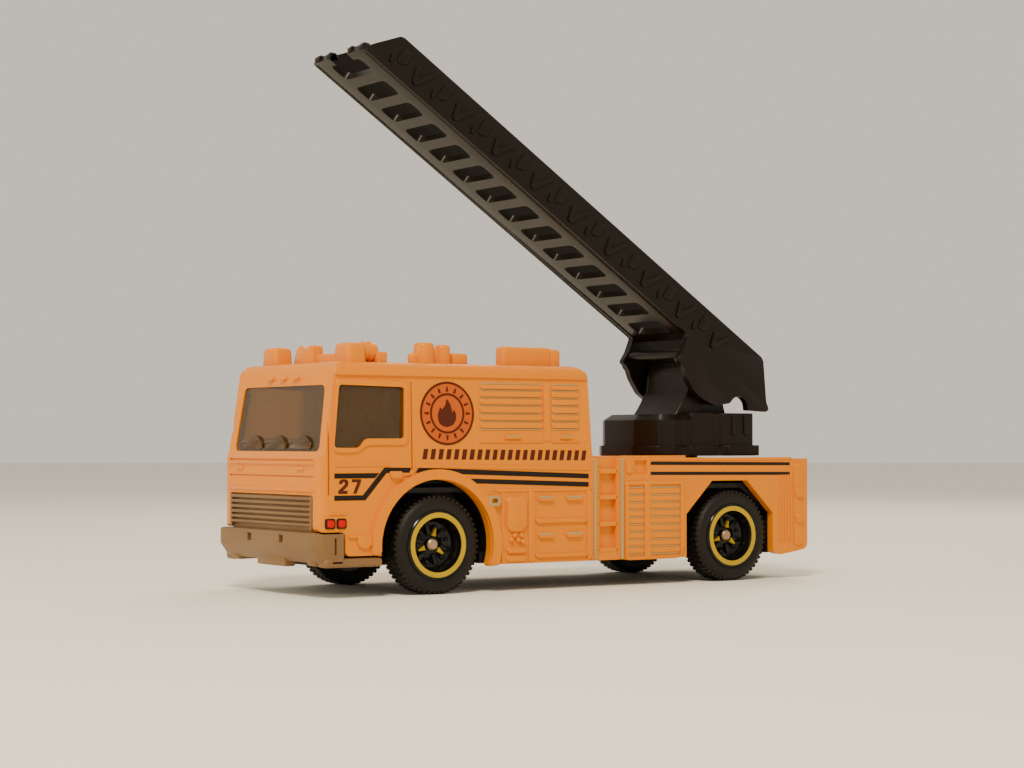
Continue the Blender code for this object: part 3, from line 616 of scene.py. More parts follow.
def tapered_vent(y, radius, low, high):
    bm = rod("Z", (VENT_X, y), radius, low, high, 28, 0.4)
    for vert in bm.verts:
        if vert.co.z > (low + high) / 2:
            vert.co.x = VENT_X + (vert.co.x - VENT_X) * VENT_TAPER
            vert.co.y = y + (vert.co.y - y) * VENT_TAPER
    return bm


def beacon(x):
    """A beacon with sides that lean in and a rounded top."""
    y = -30.9
    bm = cuboid((x - 1.9, x + 1.9), (-32.15, -29.6), (ROOF_Z - 0.4, 30.3), 0.5)
    for vert in bm.verts:
        scale = 1.0 - 0.1 * max(0.0, vert.co.z - ROOF_Z) / 2.5
        vert.co.x = x + (vert.co.x - x) * scale
        vert.co.y = y + (vert.co.y - y) * scale
    return bm


def roof_fittings():
    """Beacons, cradle, horn, vents and boxes, all cast with the roof."""
    foot = ROOF_Z - 0.4
    parts = []
    for side in (-1, 1):
        parts.append(beacon(side * 9.2))
    cradle = [(-2.8, foot), (2.6, foot), (2.4, 30.2), (1.7, 30.2), (0.8, 29.6), (-0.1, 30.2), (-1.4, 30.2)]
    parts.append(prism("Y", fillet(cradle, 0.4), -32.2, -30.8, 0.2))
    parts.append(cuboid((-0.5, 7.6), (-31.8, -30.6), (foot, 29.1), 0.2))
    parts.append(rod("Y", HORN, 1.1, -29.5, -27.2, 24, 0.4))
    for y in (-29.0, -28.2):
        parts.append(rod("Y", HORN, 1.25, y - 0.2, y + 0.2, 24, 0.12))
    parts.append(cuboid((7.6, 10.2), (-27.7, -26.2), (foot, 29.3), 0.25))
    for y, radius, top in ((-19.9, 1.45, 30.6), (-18.3, 0.6, 30.0), (-17.2, 1.1, 30.4)):
        parts.append(tapered_vent(y, radius, foot, top))
    parts.append(rod("Z", (VENT_X, -21.4), 0.7, foot, 29.3, 24, 0.4))
    boxes = (((7.2, 9.2), (-16.2, -14.0), 29.4, 0.4), ((-8.6, -5.6), (-9.0, -4.6), 29.4, 0.3),
             ((7.0, 9.1), (-8.7, -1.3), 30.4, 0.45), ((7.0, 9.1), (-1.5, 0.1), 30.2, 0.45))
    for x, y, top, soft in boxes:
        parts.append(cuboid(x, y, (foot, top), soft))
    for x in (-3.2, 0.0, 3.2):
        parts.append(cuboid((x - 0.7, x + 0.7), (-35.2, -34.3), (25.9, 26.4), 0.2))
    return parts


def deck_top():
    """A raised curb round the deck and a few tread strips on it."""
    parts = []
    for side in (-1, 1):
        curb = sided(side, HALF - 0.2, HALF - 1.0)
        parts.append(cuboid(curb, (7.3, 17.9), (DECK_Z - 0.5, DECK_Z + 0.2), 0.12))
        for i in range(3):
            x = side * (3.2 + 2.6 * i)
            parts.append(cuboid((x - 0.6, x + 0.6), (4.0, 13.8), (DECK_Z - 0.4, DECK_Z + 0.12), 0.1))
    return parts


def rear_face():
    """Relief on the tail: a roller door and two lamps a side."""
    parts = [cuboid((-7.0, 7.0), (REAR_Y - 0.4, REAR_Y + 0.12), (5.2, 14.6), 0.1)]
    for i in range(TAIL_SLATS):
        z = 6.0 + TAIL_PITCH * i
        parts.append(cuboid((-6.4, 6.4), (REAR_Y, REAR_Y + 0.26), (z, z + 0.7), 0.12))
    for side in (-1, 1):
        for z in TAIL_LAMP_Z:
            x = side * 9.7
            parts.append(cuboid((x - 1.2, x + 1.2), (REAR_Y - 0.3, REAR_Y + 0.3), (z - 1.0, z + 1.0), 0.28))
    return parts


def make_body():
    shell = prism("X", body_outline(), -HALF - 1.0, HALF + 1.0)
    shell = carve(shell, [prism("Y", body_section(), FRONT_Y - 1.0, REAR_Y + 1.0),
                          prism("Z", body_plan(), -1.0, ROOF_Z + 1.0)], "INTERSECT")
    inner = HALF - WALL
    shell = carve(shell, [prism("X", cavity_outline(), -inner, inner)])
    shell = carve(shell, body_cutters())
    parts = [shell] + roof_cap() + door_relief() + arch_lip() + belt_relief() + louvre_relief()
    parts += lower_panel_relief() + deck_relief() + roof_fittings() + deck_top() + rear_face()
    piece("body_casting", joined(parts), ORANGE, "truck", ["body_shell"], sharp=32.0)


# ---- Prints on the body ----

def stripe_prints():
    """The two side stripes, stepping up over the door and on along the box and deck."""
    parts = sheet([(-34.8, 14.15), (-29.3, 14.15), (-28.7, 14.75), (-34.8, 14.75)])
    diagonal = [(-34.8, 11.55), (-30.6, 11.55), (-27.7, 14.75), (-24.35, 14.75), (-24.35, 15.35),
                (-28.0, 15.4), (-30.95, 12.15), (-34.8, 12.15)]
    parts += sheet(diagonal)
    parts += sheet([(-23.7, 14.75), (2.0, 13.8), (2.0, 14.4), (-23.2, 15.35)])
    parts += sheet([(-16.0, 13.4), (2.0, 12.75), (2.0, 13.35), (-16.9, 14.0)])
    for low in (15.45, 14.15):
        parts += sheet([(11.9, low), (35.6, low - 0.2), (35.6, low + 0.2), (11.9, low + 0.42)])
    return joined(parts)


def silver_prints():
    """Silver on the louvre lines, handles, latch and side rails."""
    parts = []
    for left, right in LOUVRES:
        for z in LOUVRE_LINES:
            parts += relief(rectangle(left, right, z - 0.1, z + 0.1), 0.1, 0.05, sink=0.3)
    for left, right in ((-10.7, -8.6), (-2.3, -0.8)):
        parts += relief(rectangle(left, right, 19.08, 19.25), 0.33, 0.0)
    for z in (11.55, 6.95):
        for left, right in ((-5.8, -3.7), (-1.5, 0.7)):
            parts += relief(rectangle(left, right, z - 0.15, z + 0.12), 0.39, 0.0)
    latch = prism("X", block((-13.4, -11.7), (10.55, 11.85), 0.3), HALF - 0.3, HALF + 0.55, 0.1)
    latch = carve(latch, [prism("X", block((-13.0, -12.1), (10.95, 11.5), 0.2), HALF - 1.0, HALF + 1.0)])
    parts += [latch, mirrored(latch)]
    for y in (2.85, 7.1):
        parts += raised((y - 0.2, y + 0.2), (3.5, 16.3), 0.1, 0.34, 0.15)
    for span in DECK_COLUMNS:
        for i in range(DECK_LINES):
            z = DECK_FIRST_Z - DECK_PITCH * i
            line = rectangle(span[0] + 0.05, span[1] - 0.05, z - 0.08, z + 0.1)
            parts += relief(line, 0.09, 0.04, sink=0.3)
    return joined(parts)


def badge_flame():
    """A plain flame, as (y, z) points about the badge's centre."""
    return [(-1.15, -1.3), (-0.2, -1.7), (0.9, -1.4), (1.35, -0.4), (1.0, 0.5), (0.75, 0.0), (0.5, 1.0),
            (-0.1, 1.9), (-0.2, 1.0), (-0.8, 0.4), (-1.0, 0.8), (-1.4, -0.3)]


BADGE_CENTRE = (-19.1, 21.9)
BADGE_HALF = 3.85
BADGE_RISE = PRINT * 1.5
BADGE_STEPS = 48
BADGE_RAYS = 16


def badge_ring(outer, inner):
    """A printed ring on both sides, from its two radii."""
    left = prism("X", circle(BADGE_CENTRE, outer, BADGE_STEPS), HALF + BADGE_RISE - 0.1,
                 HALF + BADGE_RISE + PRINT)
    hole = prism("X", circle(BADGE_CENTRE, inner, BADGE_STEPS), HALF - 1.0, HALF + 1.0)
    left = lean(carve(left, [hole]))
    return [left, mirrored(left)]


def badge_fill_print():
    return joined(sheet(circle(BADGE_CENTRE, BADGE_HALF, BADGE_STEPS)))


def badge_prints():
    """A generic round badge: two rings, rays between them and a flame."""
    parts = badge_ring(BADGE_HALF, BADGE_HALF - 0.25) + badge_ring(2.45, 2.2)
    spread = 0.06
    for i in range(BADGE_RAYS):
        angle = math.tau * i / BADGE_RAYS
        ray = []
        for radius, turn in ((2.65, -spread), (3.25, -spread / 2), (3.25, spread / 2), (2.65, spread)):
            ray.append((BADGE_CENTRE[0] + radius * math.cos(angle + turn),
                        BADGE_CENTRE[1] + radius * math.sin(angle + turn)))
        parts += sheet(ray, base=BADGE_RISE)
    flame = [(BADGE_CENTRE[0] + a, BADGE_CENTRE[1] + b) for a, b in badge_flame()]
    parts += sheet(fillet(flame, 0.4), base=BADGE_RISE)
    return joined(parts)


BAND_BLOCKS = 22
BAND_PITCH = 1.12


def band_prints():
    """A row of slanted blocks where such a truck carries its lettering."""
    parts = []
    for i in range(BAND_BLOCKS):
        start = -22.7 + BAND_PITCH * i
        foot = 16.35 - 0.012 * i
        top = foot + 1.25
        parts += sheet([(start, foot), (start + 0.62, foot), (start + 0.86, top), (start + 0.24, top)])
    return joined(parts)


NUMBER_FOOT_Z = 12.35
NUMBER_WIDTH = 1.25
NUMBER_SLANT = 0.1


def number_outlines():
    """A plain two and seven, as (y, z) outlines in a cell 1 wide and 1.7 high."""
    two = [(0.0, 0.0), (1.0, 0.0), (1.0, 0.35), (0.5, 0.35), (1.0, 0.95), (1.0, 1.45), (0.75, 1.7),
           (0.2, 1.7), (0.0, 1.45), (0.0, 1.15), (0.35, 1.15), (0.4, 1.38), (0.6, 1.38), (0.65, 1.1),
           (0.0, 0.35)]
    seven = [(0.25, 0.0), (0.62, 0.0), (1.0, 1.35), (1.0, 1.7), (0.0, 1.7), (0.0, 1.35), (0.62, 1.35)]
    return two, seven


def number_prints():
    """A generic fleet number on the left door only, where it reads the right way round."""
    parts = []
    for outline, start in zip(number_outlines(), (-34.3, -32.6)):
        shape = [(start + NUMBER_WIDTH * a + NUMBER_SLANT * b, NUMBER_FOOT_Z + b) for a, b in outline]
        parts.append(sheet(shape)[0])
    return joined(parts)


def light_prints():
    """Two red lamps, each in a dark surround, ahead of the door."""
    dark = []
    red = []
    for y in (-35.35, -33.85):
        dark += raised((y - 0.66, y + 0.66), (8.25, 9.45), 0.25, 0.12, 0.06)
        red += raised((y - 0.46, y + 0.46), (8.43, 9.27), 0.2, 0.22, 0.1)
    return joined(dark), joined(red)


def make_prints():
    surround, lamps = light_prints()
    for name, print_mesh, ink in (
            ("side_stripes", stripe_prints(), STRIPE), ("silver_lines", silver_prints(), SILVER),
            ("badge_ground", badge_fill_print(), FILL), ("badge_lines", badge_prints(), BADGE),
            ("side_band", band_prints(), BADGE), ("door_number", number_prints(), BADGE),
            ("lamp_surrounds", surround, STRIPE), ("marker_lamps", lamps, RED)):
        piece(name, print_mesh, ink, "truck")


# ---- Bumper and grille ----

BUMPER_Y = box_mm("front_bumper_grille")[0].y - SHIFT_Y
BUMPER_HALF = 12.9
BUMPER_BEND_Z = 5.8                 # the face turns in below this height
GRILLE_BARS = 6
GRILLE_PITCH = 0.62


def bumper_outline():
    """The bumper from above, as (x, y) points, with its cut front corners."""
    inner, cut, back = 10.6, 0.8, -33.6
    half = [(BUMPER_HALF - cut, BUMPER_Y), (BUMPER_HALF, BUMPER_Y + cut), (BUMPER_HALF, back),
            (inner, back), (inner, BUMPER_Y + 2.0)]
    return fillet(both_ways(half), 0.3)


def bumper_bar():
    """The main bar, whose face turns in below, with two slots in front and one a side."""
    bar = prism("Z", bumper_outline(), 4.2, 7.65)
    split_level(bar, BUMPER_BEND_Z)
    for vert in bar.verts:
        drop = max(0.0, BUMPER_BEND_Z - vert.co.z)
        if vert.co.y < BUMPER_Y + 1.5:
            vert.co.y += drop * 0.7
    cutters = []
    for side in (-1, 1):
        x = side * 4.1
        cutters.append(cuboid((x - 0.5, x + 0.5), (BUMPER_Y - 1.0, BUMPER_Y + 0.5), (6.4, 7.4), 0.1))
        cutters.append(cuboid(sided(side, 12.5, 14.0), (-35.0, -34.7), (5.2, 7.2), 0.05))
    return carve(bar, cutters)


def make_bumper():
    """Bar, top lip, lower steps, and the grille's plate, bars and end posts."""
    parts = [bumper_bar()]
    parts.append(cuboid((-12.0, 12.0), (BUMPER_Y + 0.05, BUMPER_Y + 1.5), (7.2, 7.8), 0.25))
    parts.append(cuboid((-3.6, 3.6), (BUMPER_Y + 0.75, BUMPER_Y + 2.4), (3.5, 5.6), 0.3))
    for side in (-1, 1):
        x = side * 9.8
        parts.append(cuboid((x - 1.1, x + 1.1), (BUMPER_Y + 0.9, BUMPER_Y + 2.4), (3.8, 5.2), 0.4))
        parts.append(cuboid(sided(side, 10.8, BUMPER_HALF), (-36.2, -28.4), (3.7, 4.75), 0.35))
    parts.append(cuboid((-10.5, 10.5), (FRONT_Y + 0.3, FRONT_Y + 1.1), (7.0, 12.1), 0.05))
    for i in range(GRILLE_BARS):
        z = 8.45 + GRILLE_PITCH * i
        parts.append(cuboid((-10.45, 10.45), (FRONT_Y - 0.2, FRONT_Y + 0.6), (z, z + 0.4), 0.16))
    for side in (-1, 1):
        x = side * 10.3
        parts.append(cuboid((x - 0.22, x + 0.22), (FRONT_Y - 0.12, FRONT_Y + 0.6), (8.0, 12.05), 0.1))
    piece("bumper_and_grille", joined(parts), BRONZE, "truck", ["front_bumper_grille"])


# ---- Cab glazing and interior ----

def wiper_arm(x):
    """One of the three wiper mouldings along the windscreen's lower edge: a blade and a bar."""
    outline = [(-2.7, 17.6), (2.5, 17.6), (2.7, 18.2), (1.5, 19.1), (0.5, 19.3), (-0.4, 18.7), (-2.7, 18.1)]
    arm = prism("Y", fillet([(x + a, b) for a, b in outline], 0.3), -36.0, -35.2, 0.2)
    bar = cuboid((x - 2.9, x + 1.6), (-36.05, -35.4), (18.35, 18.6), 0.1)
    return [arm, bar]


def window_panes():
    """Raised panes that fill the windscreen and the side windows almost flush."""
    screen = prism("Y", fillet([(x * 0.994, z) for x, z in SCREEN], 0.8), FRONT_Y - 1.0, -33.0)
    face = [(-35.9, 16.9), (-34.64, 25.6), (-33.2, 25.6), (-34.4, 16.9)]
    panes = [carve(screen, [prism("X", face, -12.0, 12.0)], "INTERSECT")]
    side_pane = lean(prism("X", fillet(SIDE_WINDOW, 0.45), HALF - 1.9, HALF - 0.16, 0.08))
    return panes + [side_pane, mirrored(side_pane)]


def make_glazing():
    """The clear moulding: panes, the shell that joins them and three wiper mouldings."""
    inner = HALF - WALL - 0.3
    pane = 0.6
    outline = [(-34.9, 16.4), (-33.4, 25.6), (-33.0, 26.4), (-23.4, 26.4), (-23.4, 16.4)]
    shell = prism("X", fillet(outline, 0.3), -inner, inner)
    hollow = [(-34.9 + pane, 15.0), (-34.9 + pane, 16.4), (-33.4 + pane, 25.3), (-32.8 + pane, 25.8),
              (-20.0, 25.8), (-20.0, 15.0)]
    shell = carve(shell, [prism("X", hollow, -inner + pane, inner - pane)])
    shell = carve(shell, window_panes(), "UNION")
    parts = [shell]
    for x in (-6.2, 0.0, 6.2):
        parts += wiper_arm(x)
    piece("cab_glazing", joined(parts), SMOKE_AND_PAINTED_AMBER, "truck", ["window_glazing"], sharp=28.0)


def make_interior():
    """Floor, dashboard, seats and the steering wheel on its column."""
    floor = 13.2
    parts = [cuboid((-9.6, 9.6), (-33.7, -15.0), (floor, floor + 1.0), 0.15)]
    dash = [(-33.7, floor), (-33.7, 16.3), (-33.0, 17.0), (-31.8, 16.4), (-31.8, floor)]
    parts.append(prism("X", fillet(dash, 0.3), -9.0, 9.0, 0.2))
    for side in (-1, 1):
        centre = side * 4.8
        cushion = fillet([(-29.0, floor + 0.5), (-29.0, 15.8), (-24.4, 15.8), (-24.4, floor + 0.5)], 0.5)
        parts.append(prism("X", cushion, centre - 2.7, centre + 2.7, 0.3))
        back = fillet([(-24.9, 15.0), (-24.3, 21.4), (-23.5, 21.8), (-22.8, 21.4), (-22.9, 15.0)], 0.4)
        parts.append(prism("X", back, centre - 2.7, centre + 2.7, 0.35))
        rest = fillet([(-24.2, 21.6), (-24.0, 23.4), (-23.2, 23.4), (-23.1, 21.6)], 0.3)
        parts.append(prism("X", rest, centre - 1.3, centre + 1.3, 0.25))
    column = [(-32.4, 16.0), (-29.7, 17.6), (-30.0, 18.1), (-32.7, 16.5)]
    parts.append(prism("X", fillet(column, 0.15), 4.4, 5.2, 0.1))
    ring = turned([(-0.25 + 0.5 * i / 8, 1.6 + 0.25 * math.sin(math.pi * i / 8)) for i in range(9)] +
                  [(0.25, 1.5), (-0.25, 1.5)], 24)
    turn = Matrix.Rotation(math.radians(-60), 4, "Y") @ Matrix.Rotation(math.radians(90), 4, "Z")
    parts.append(moved(ring, Matrix.Translation((4.8, -29.9, 17.9)) @ turn))
    piece("cab_insert", joined(parts), SEAT, "truck", ["cab_interior"])


# ---- Wheels ----

LUGS = 52                           # in each of a tyre's two rows
SPOKES = 6
HUB_R = 4.25
RING_OUTER = 3.93
RING_INNER = 3.3
BORE_R = 0.6
HUB_SIDES = 72
HUB_INNER_X = 9.0
HUB_FACE_X = AXLE_END_X - 0.75
RIM_X = WHEEL_OUTER_X + 0.06


def about_axle(y, angle):
    """From a wheel's own middle, turned by an angle, to its place on the truck."""
    return Matrix.Translation((0.0, y, WHEEL_R)) @ Matrix.Rotation(angle, 4, "X")


def tyre_mesh(y, side):
    """A tyre with a rounded shoulder, a sidewall step and small tread blocks."""
    inner, outer, top = WHEEL_INNER_X, WHEEL_OUTER_X, WHEEL_R - 0.13
    profile = [(inner, HUB_R), (inner, top - 0.6), (inner + 0.4, top - 0.12), (inner + 0.8, top)]
    profile += [(outer - 0.8, top), (outer - 0.4, top - 0.12), (outer - 0.08, top - 0.55)]
    profile += [(outer, top - 0.9), (outer - 0.02, HUB_R + 0.35), (outer - 0.12, HUB_R)]
    parts = [turned([(side * x, r) for x, r in profile], 2 * LUGS, (y, WHEEL_R))]
    middle = (inner + outer) / 2
    for row, span in enumerate(((inner + 0.4, middle - 0.25), (middle + 0.25, outer - 0.34))):
        for i in range(LUGS):
            angle = math.tau * (i + 0.5 * row) / LUGS
            lug = cuboid(sided(side, *span), (-0.21, 0.21), (top - 0.5, WHEEL_R), 0.06)
            parts.append(moved(lug, about_axle(y, angle)))
    return joined(parts)


def hub_mesh(y, side):
    """The glossy hub: rim, dished face, spokes and bolts."""
    face, rim = HUB_FACE_X, RIM_X
    profile = [(HUB_INNER_X, BORE_R), (HUB_INNER_X, HUB_R), (rim - 0.1, HUB_R), (rim, HUB_R - 0.1)]
    profile += [(rim, RING_INNER + 0.05), (rim - 0.15, RING_INNER - 0.05), (face + 0.35, 2.75)]
    profile += [(face - 0.2, 1.8), (face, 1.3), (face, BORE_R)]
    parts = [turned([(side * x, r) for x, r in profile], HUB_SIDES, (y, WHEEL_R))]
    for i in range(SPOKES):
        turn = about_axle(y, math.tau * (i + 0.25) / SPOKES)
        spoke = cuboid(sided(side, face - 0.4, face + 0.35), (-0.28, 0.28), (1.2, 2.85), 0.12)
        bolt = prism("X", circle((0.0, 0.0), 0.26, 12), *sided(side, face - 0.3, face + 0.28), 0.08)
        half_way = Matrix.Rotation(math.tau / (2 * SPOKES), 4, "X") @ Matrix.Translation((0.0, 0.0, 2.2))
        parts += [moved(spoke, turn), moved(bolt, turn @ half_way)]
    return joined(parts)


def ring_mesh(y, side):
    """The printed yellow ring and three marks by the axle's head."""
    low, high, inner = RIM_X - 0.05, RIM_X + PRINT, RING_INNER + 0.02
    profile = [(low, inner), (high, inner), (high, RING_OUTER), (low, RING_OUTER)]
    parts = [turned([(side * x, r) for x, r in profile], HUB_SIDES, (y, WHEEL_R))]
    reach = sided(side, HUB_FACE_X - 0.1, HUB_FACE_X + 0.42)
    for degrees in (75, 200, 325):
        mark = prism("X", [(-0.3, 1.05), (0.3, 1.05), (0.12, 2.0), (-0.1, 2.0)], *reach, 0.04)
        parts.append(moved(mark, about_axle(y, math.radians(degrees - 90) * side)))
    return joined(parts)


def make_wheels():
    for axle, y in (("front", FRONT_AXLE_Y), ("rear", REAR_AXLE_Y)):
        for hand, side in (("left", 1), ("right", -1)):
            label = f"{axle}_{hand}"
            body = f"{label}_wheel"
            piece(f"{label}_rubber", tyre_mesh(y, side), RUBBER, body, [f"{label}_tyre"])
            piece(f"{label}_rim", hub_mesh(y, side), GLOSS, body, [f"{label}_hub"])
            piece(f"{label}_ring", ring_mesh(y, side), YELLOW, body)


# ---- Turntable ----

def plinth_plan(grow):
    """The stepped plinth from above, as (x, y) points."""
    half = [(3.4, 16.2), (6.4, 18.1), (6.4, 20.9), (5.4, 21.4), (5.4, 22.8), (6.4, 23.6), (6.4, 27.8),
            (7.4, 28.4), (7.4, 33.4), (3.6, 35.0)]
    grown = []
    for x, y in half:
        away = Vector((x, y - TURN_Y)).normalized() * grow
        grown.append((x + away.x, y + away.y))
    return fillet(both_ways(grown), 0.3)


def ladder_point(s, h):
    """Turn ladder coordinates, along it and square to it, into (y, z)."""
    y = TURN_Y - s * math.cos(LADDER_ANGLE) + h * math.sin(LADDER_ANGLE)
    z = LADDER_FOOT_Z + s * math.sin(LADDER_ANGLE) + h * math.cos(LADDER_ANGLE)
    return (y, z)


def sloped_top(bm, low, high, inset):
    """Draw the top of the plinth in, so that a sloped edge runs round it."""
    half_width, half_length = 6.4, 9.0
    for vert in bm.verts:
        rise = max(0.0, vert.co.z - low) / (high - low)
        vert.co.x *= 1.0 - inset * rise / half_width
        vert.co.y = TURN_Y + (vert.co.y - TURN_Y) * (1.0 - inset * rise / half_length)
    return bm


def make_turntable():
    """The plinth with its flange, higher rear and flange there, the neck, the post and the side ribs."""
    foot, edge, front_top, rear_top = DECK_Z + 0.07, 21.3, 22.1, 22.3
    parts = [prism("Z", plinth_plan(0.45), foot, 17.9, 0.2)]
    plinth = prism("Z", plinth_plan(0.0), foot + 0.2, front_top)
    split_level(plinth, edge)
    parts.append(sloped_top(plinth, edge, front_top, 0.9))
    rear = [(6.46, 23.5), (6.46, 27.8), (7.46, 28.4), (7.46, 33.45), (3.62, 35.06)]
    parts.append(prism("Z", fillet(both_ways(rear), 0.3), 17.0, rear_top, 0.35))
    flange = [(6.9, 24.0), (6.9, 28.2), (8.1, 28.6), (8.1, 34.0), (4.1, 36.3)]
    parts.append(prism("Z", fillet(both_ways(flange), 0.3), foot + 0.03, 17.95, 0.2))
    pivot = ladder_point(*PIVOT)
    neck = [(31.0, 22.0), (22.0, 22.0), (24.5, 25.2)] + arc(pivot, 2.4, 200, -20, 16)
    parts.append(carve(prism("X", neck, -4.7, 4.7, 0.25), [rod("X", pivot, PEG_R + 0.1, -6.0, 6.0, 32)]))
    parts.append(rod("Z", (0.0, TURN_Y), TURNTABLE_POST_R, 14.6, 18.0, 32, 0.1))
    for side in (-1, 1):
        for y in (29.9, 32.0):
            parts.append(cuboid(sided(side, 7.0, 7.68), (y - 0.3, y + 0.3), (19.4, 22.1), 0.15))
    piece("turntable_plinth", joined(parts), BLACK, "turntable", ["turntable"])


# ---- Ladder ----

def side_wall_outline():
    """A side wall with its round ear and tail, as (s, h) points."""
    points = [(LADDER_TIP_S, 0.0), (LADDER_TIP_S - 0.6, 1.3), (LADDER_TIP_TOP_S, 4.75), (-8.1, 4.75)]
    points += [(-11.9, 0.0), (-12.8, -0.4), (-12.7, -1.0), (-10.5, -2.3), (-9.8, -2.7)]
    points += arc((-8.2, -3.4), 1.6, 155, -10, 8)
    points += [(-4.5, -5.5), (-2.2, -5.9), (-0.6, -5.9), (1.6, -5.0), (3.0, -4.0), (4.2, -3.9), (4.1, -2.4)]
    return points + [(4.4, 0.0)]


def along_ladder(outline):
    return [ladder_point(s, h) for s, h in outline]


def truss_relief(side):
    """Raised V shapes along the outside of a wall, each with a stroke and a rounded pad ahead."""
    parts = []
    reach = sided(side, LADDER_HALF - 0.3, LADDER_HALF + 0.26)
    pad_reach = sided(side, LADDER_HALF - 0.3, LADDER_HALF + 0.18)
    outside = (side < 0, side > 0)
    for i in range(TRUSS_UNITS):
        foot = 0.2 + TRUSS_PITCH * i
        vee = [(foot - 0.1, 0.7), (foot + 0.45, 0.85), (foot + 0.95, 2.9), (foot + 0.4, 3.0),
               (foot + 0.02, 1.75), (foot - 1.5, 3.8), (foot - 1.95, 3.6)]
        parts.append(prism("X", fillet(along_ladder(vee), 0.2), *reach, 0.16, ends=outside))
        small = [(foot + 4.0, 0.95), (foot + 4.4, 1.0), (foot + 4.6, 2.0), (foot + 4.2, 2.0)]
        parts.append(prism("X", fillet(along_ladder(small), 0.15), *reach, 0.13, ends=outside))
        pad = [(foot + 2.2, 1.9), (foot + 3.6, 1.5), (foot + 3.6, 3.9), (foot + 2.2, 3.9)]
        parts.append(prism("X", fillet(along_ladder(pad), 0.5), *pad_reach, 0.15, ends=outside))
    return parts


def rung_window(low, high, half):
    """A cutter with rounded corners, square to the ladder's floor."""
    cutter = prism("Z", block((low, high), (-half, half), 0.8), -1.0, 2.0)
    for vert in cutter.verts:
        s, x, h = vert.co
        y, z = ladder_point(s, h)
        vert.co = (x, y, z)
    bmesh.ops.recalc_face_normals(cutter, faces=cutter.faces)
    return cutter


def ladder_floor():
    """The trough's floor with its rounded windows and the notch in its tip."""
    across = (-LADDER_HALF + 0.2, LADDER_HALF - 0.2)
    floor = prism("X", along_ladder(rectangle(FLOOR_REAR_S, LADDER_TIP_S, 0.0, 1.0)), *across, 0.1)
    cutters = []
    for i in range(RUNG_WINDOWS):
        s = RUNG_FIRST_S + i * RUNG_PITCH
        cutters.append(rung_window(s - RUNG_LENGTH / 2, s + RUNG_LENGTH / 2, RUNG_HALF))
    cutters.append(rung_window(TIP_NOTCH_S, LADDER_TIP_S + 1.5, TIP_NOTCH_HALF))
    return carve(floor, cutters)


def make_ladder():
    """Floor, side walls with their relief, pegs, tip knobs, tail plate and the bar between the ears."""
    parts = [ladder_floor()]
    outline = fillet(along_ladder(side_wall_outline()), 0.4, 3)
    for side in (-1, 1):
        parts.append(prism("X", outline, *sided(side, LADDER_HALF, LADDER_HALF - LADDER_WALL), 0.2))
        parts += truss_relief(side)
        peg = sided(side, LADDER_HALF - 0.3, 3.1)
        parts.append(prism("X", circle(ladder_point(*PIVOT), PEG_R, 28), *peg, 0.1))
        knob = along_ladder(block((KNOB_S - 0.65, KNOB_S + 0.65), (0.02, 1.2), 0.5))
        for near, far in ((TIP_NOTCH_HALF, TIP_NOTCH_HALF + 0.9), (LADDER_HALF - 1.7, LADDER_HALF - 0.5)):
            parts.append(prism("X", knob, *sided(side, near, far), 0.3))
    across = (-LADDER_HALF + 0.2, LADDER_HALF - 0.2)
    tail = fillet([(-5.2, 0.9), (-5.2, 1.9), (-10.2, 2.0), (-10.8, 1.3)], 0.2)
    parts.append(prism("X", along_ladder(tail), *across))
    parts.append(rod("X", ladder_point(3.4, -2.4), 0.6, *across, 24))
    piece("aerial_ladder", joined(parts), BLACK, "ladder", ["ladder"])


# ---- Nodes that keep their CAD shape ----

def keep_node(node, material):
    """Give a carried-over CAD node a finished material."""
    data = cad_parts[node].data
    data.materials.clear()
    data.materials.append(material)


def finish_kept_nodes():
    keep_node("chassis_base", DARK)
    for node in ("front_axle", "rear_axle", "base_rivet_front", "base_rivet_rear", "turntable_rivet"):
        keep_node(node, STEEL)


# ---- Camera, lights and floor ----

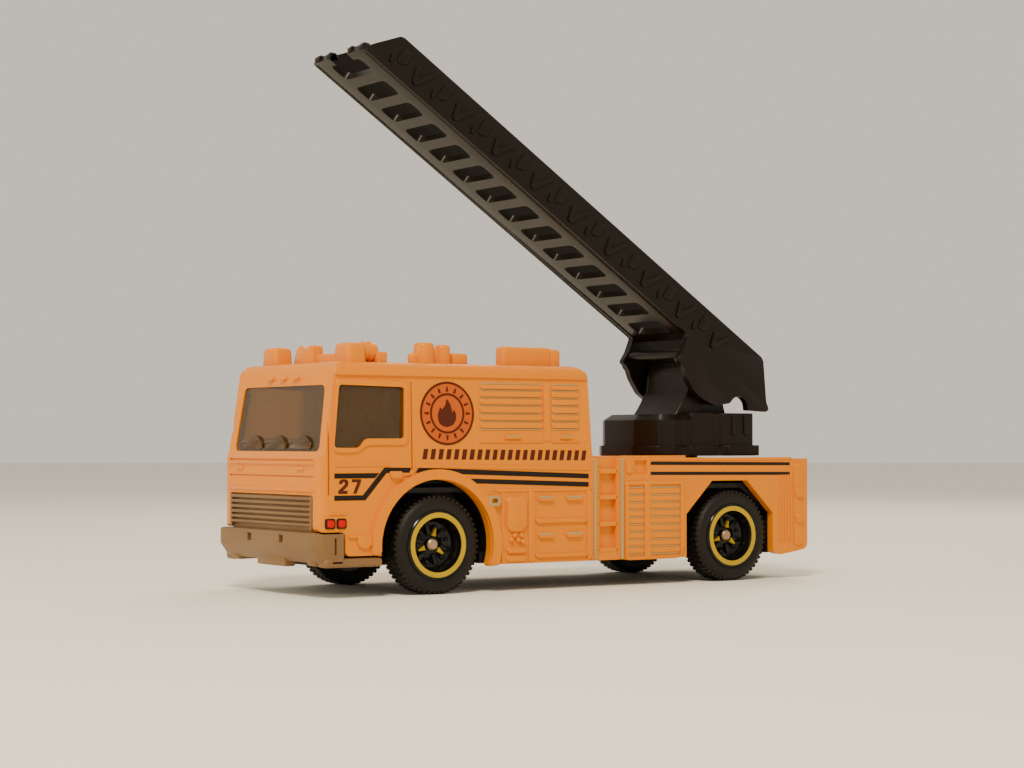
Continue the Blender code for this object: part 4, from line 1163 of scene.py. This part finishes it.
CAMERA_AT = (234.62, -159.66 + SHIFT_Y, 18.76)
AZIMUTH = math.radians(55.98)
ELEVATION = math.radians(-1.46)
LENS = 76.2
SENSOR_WIDTH = 36.0
AIM_Z = 15.0                        # the lights face the middle of the truck at this height
FLOOR_R = 1500.0
WARM = (1.0, 0.90, 0.72)


def make_camera():
    data = bpy.data.cameras.new("camera")
    data.lens = LENS
    data.sensor_width = SENSOR_WIDTH
    camera = add_object("camera", data)
    camera.location = Vector(CAMERA_AT) * MM
    back = Vector((math.sin(AZIMUTH) * math.cos(ELEVATION), -math.cos(AZIMUTH) * math.cos(ELEVATION),
                   math.sin(ELEVATION)))
    camera.rotation_euler = (-back).to_track_quat("-Z", "Y").to_euler()
    data.clip_start = 0.01
    bpy.context.scene.camera = camera


def area_light(name, place_mm, energy, size_mm):
    """A soft, warm, square light that faces the truck."""
    data = bpy.data.lights.new(name, "AREA")
    data.energy = energy
    data.size = size_mm * MM
    data.color = WARM
    light = add_object(name, data)
    light.location = Vector(place_mm) * MM
    aim = Vector((0.0, 0.0, AIM_Z)) * MM - light.location
    light.rotation_euler = aim.to_track_quat("-Z", "Y").to_euler()


def make_studio():
    world = bpy.data.worlds.new("studio")
    bpy.context.scene.world = world
    world.use_nodes = True
    background = world.node_tree.nodes["Background"]
    background.inputs["Color"].default_value = (1.0, 0.93, 0.80, 1.0)
    background.inputs["Strength"].default_value = 0.8
    area_light("key", (200.0, -190.0, 320.0), 1.5, 90.0)
    area_light("front_fill", (-40.0, -330.0, 120.0), 0.3, 160.0)
    area_light("back_rim", (-160.0, 220.0, 260.0), 0.5, 180.0)


def make_floor():
    bm = bmesh.new()
    bmesh.ops.create_circle(bm, cap_ends=True, segments=96, radius=FLOOR_R)
    mesh = saved_mesh("floor", moved(bm, Matrix.Scale(MM, 4)))
    floor = add_object("floor", mesh)
    material = finish("pale_floor", (0.88, 0.83, 0.72), (0.86, 0.81, 0.70), (0.7, 0.8),
                      grain=200.0, bump=0.01)
    mesh.materials.append(material)


make_camera()
make_studio()
make_floor()
make_body()
make_prints()
make_bumper()
make_glazing()
make_interior()
make_wheels()
make_turntable()
make_ladder()
finish_kept_nodes()
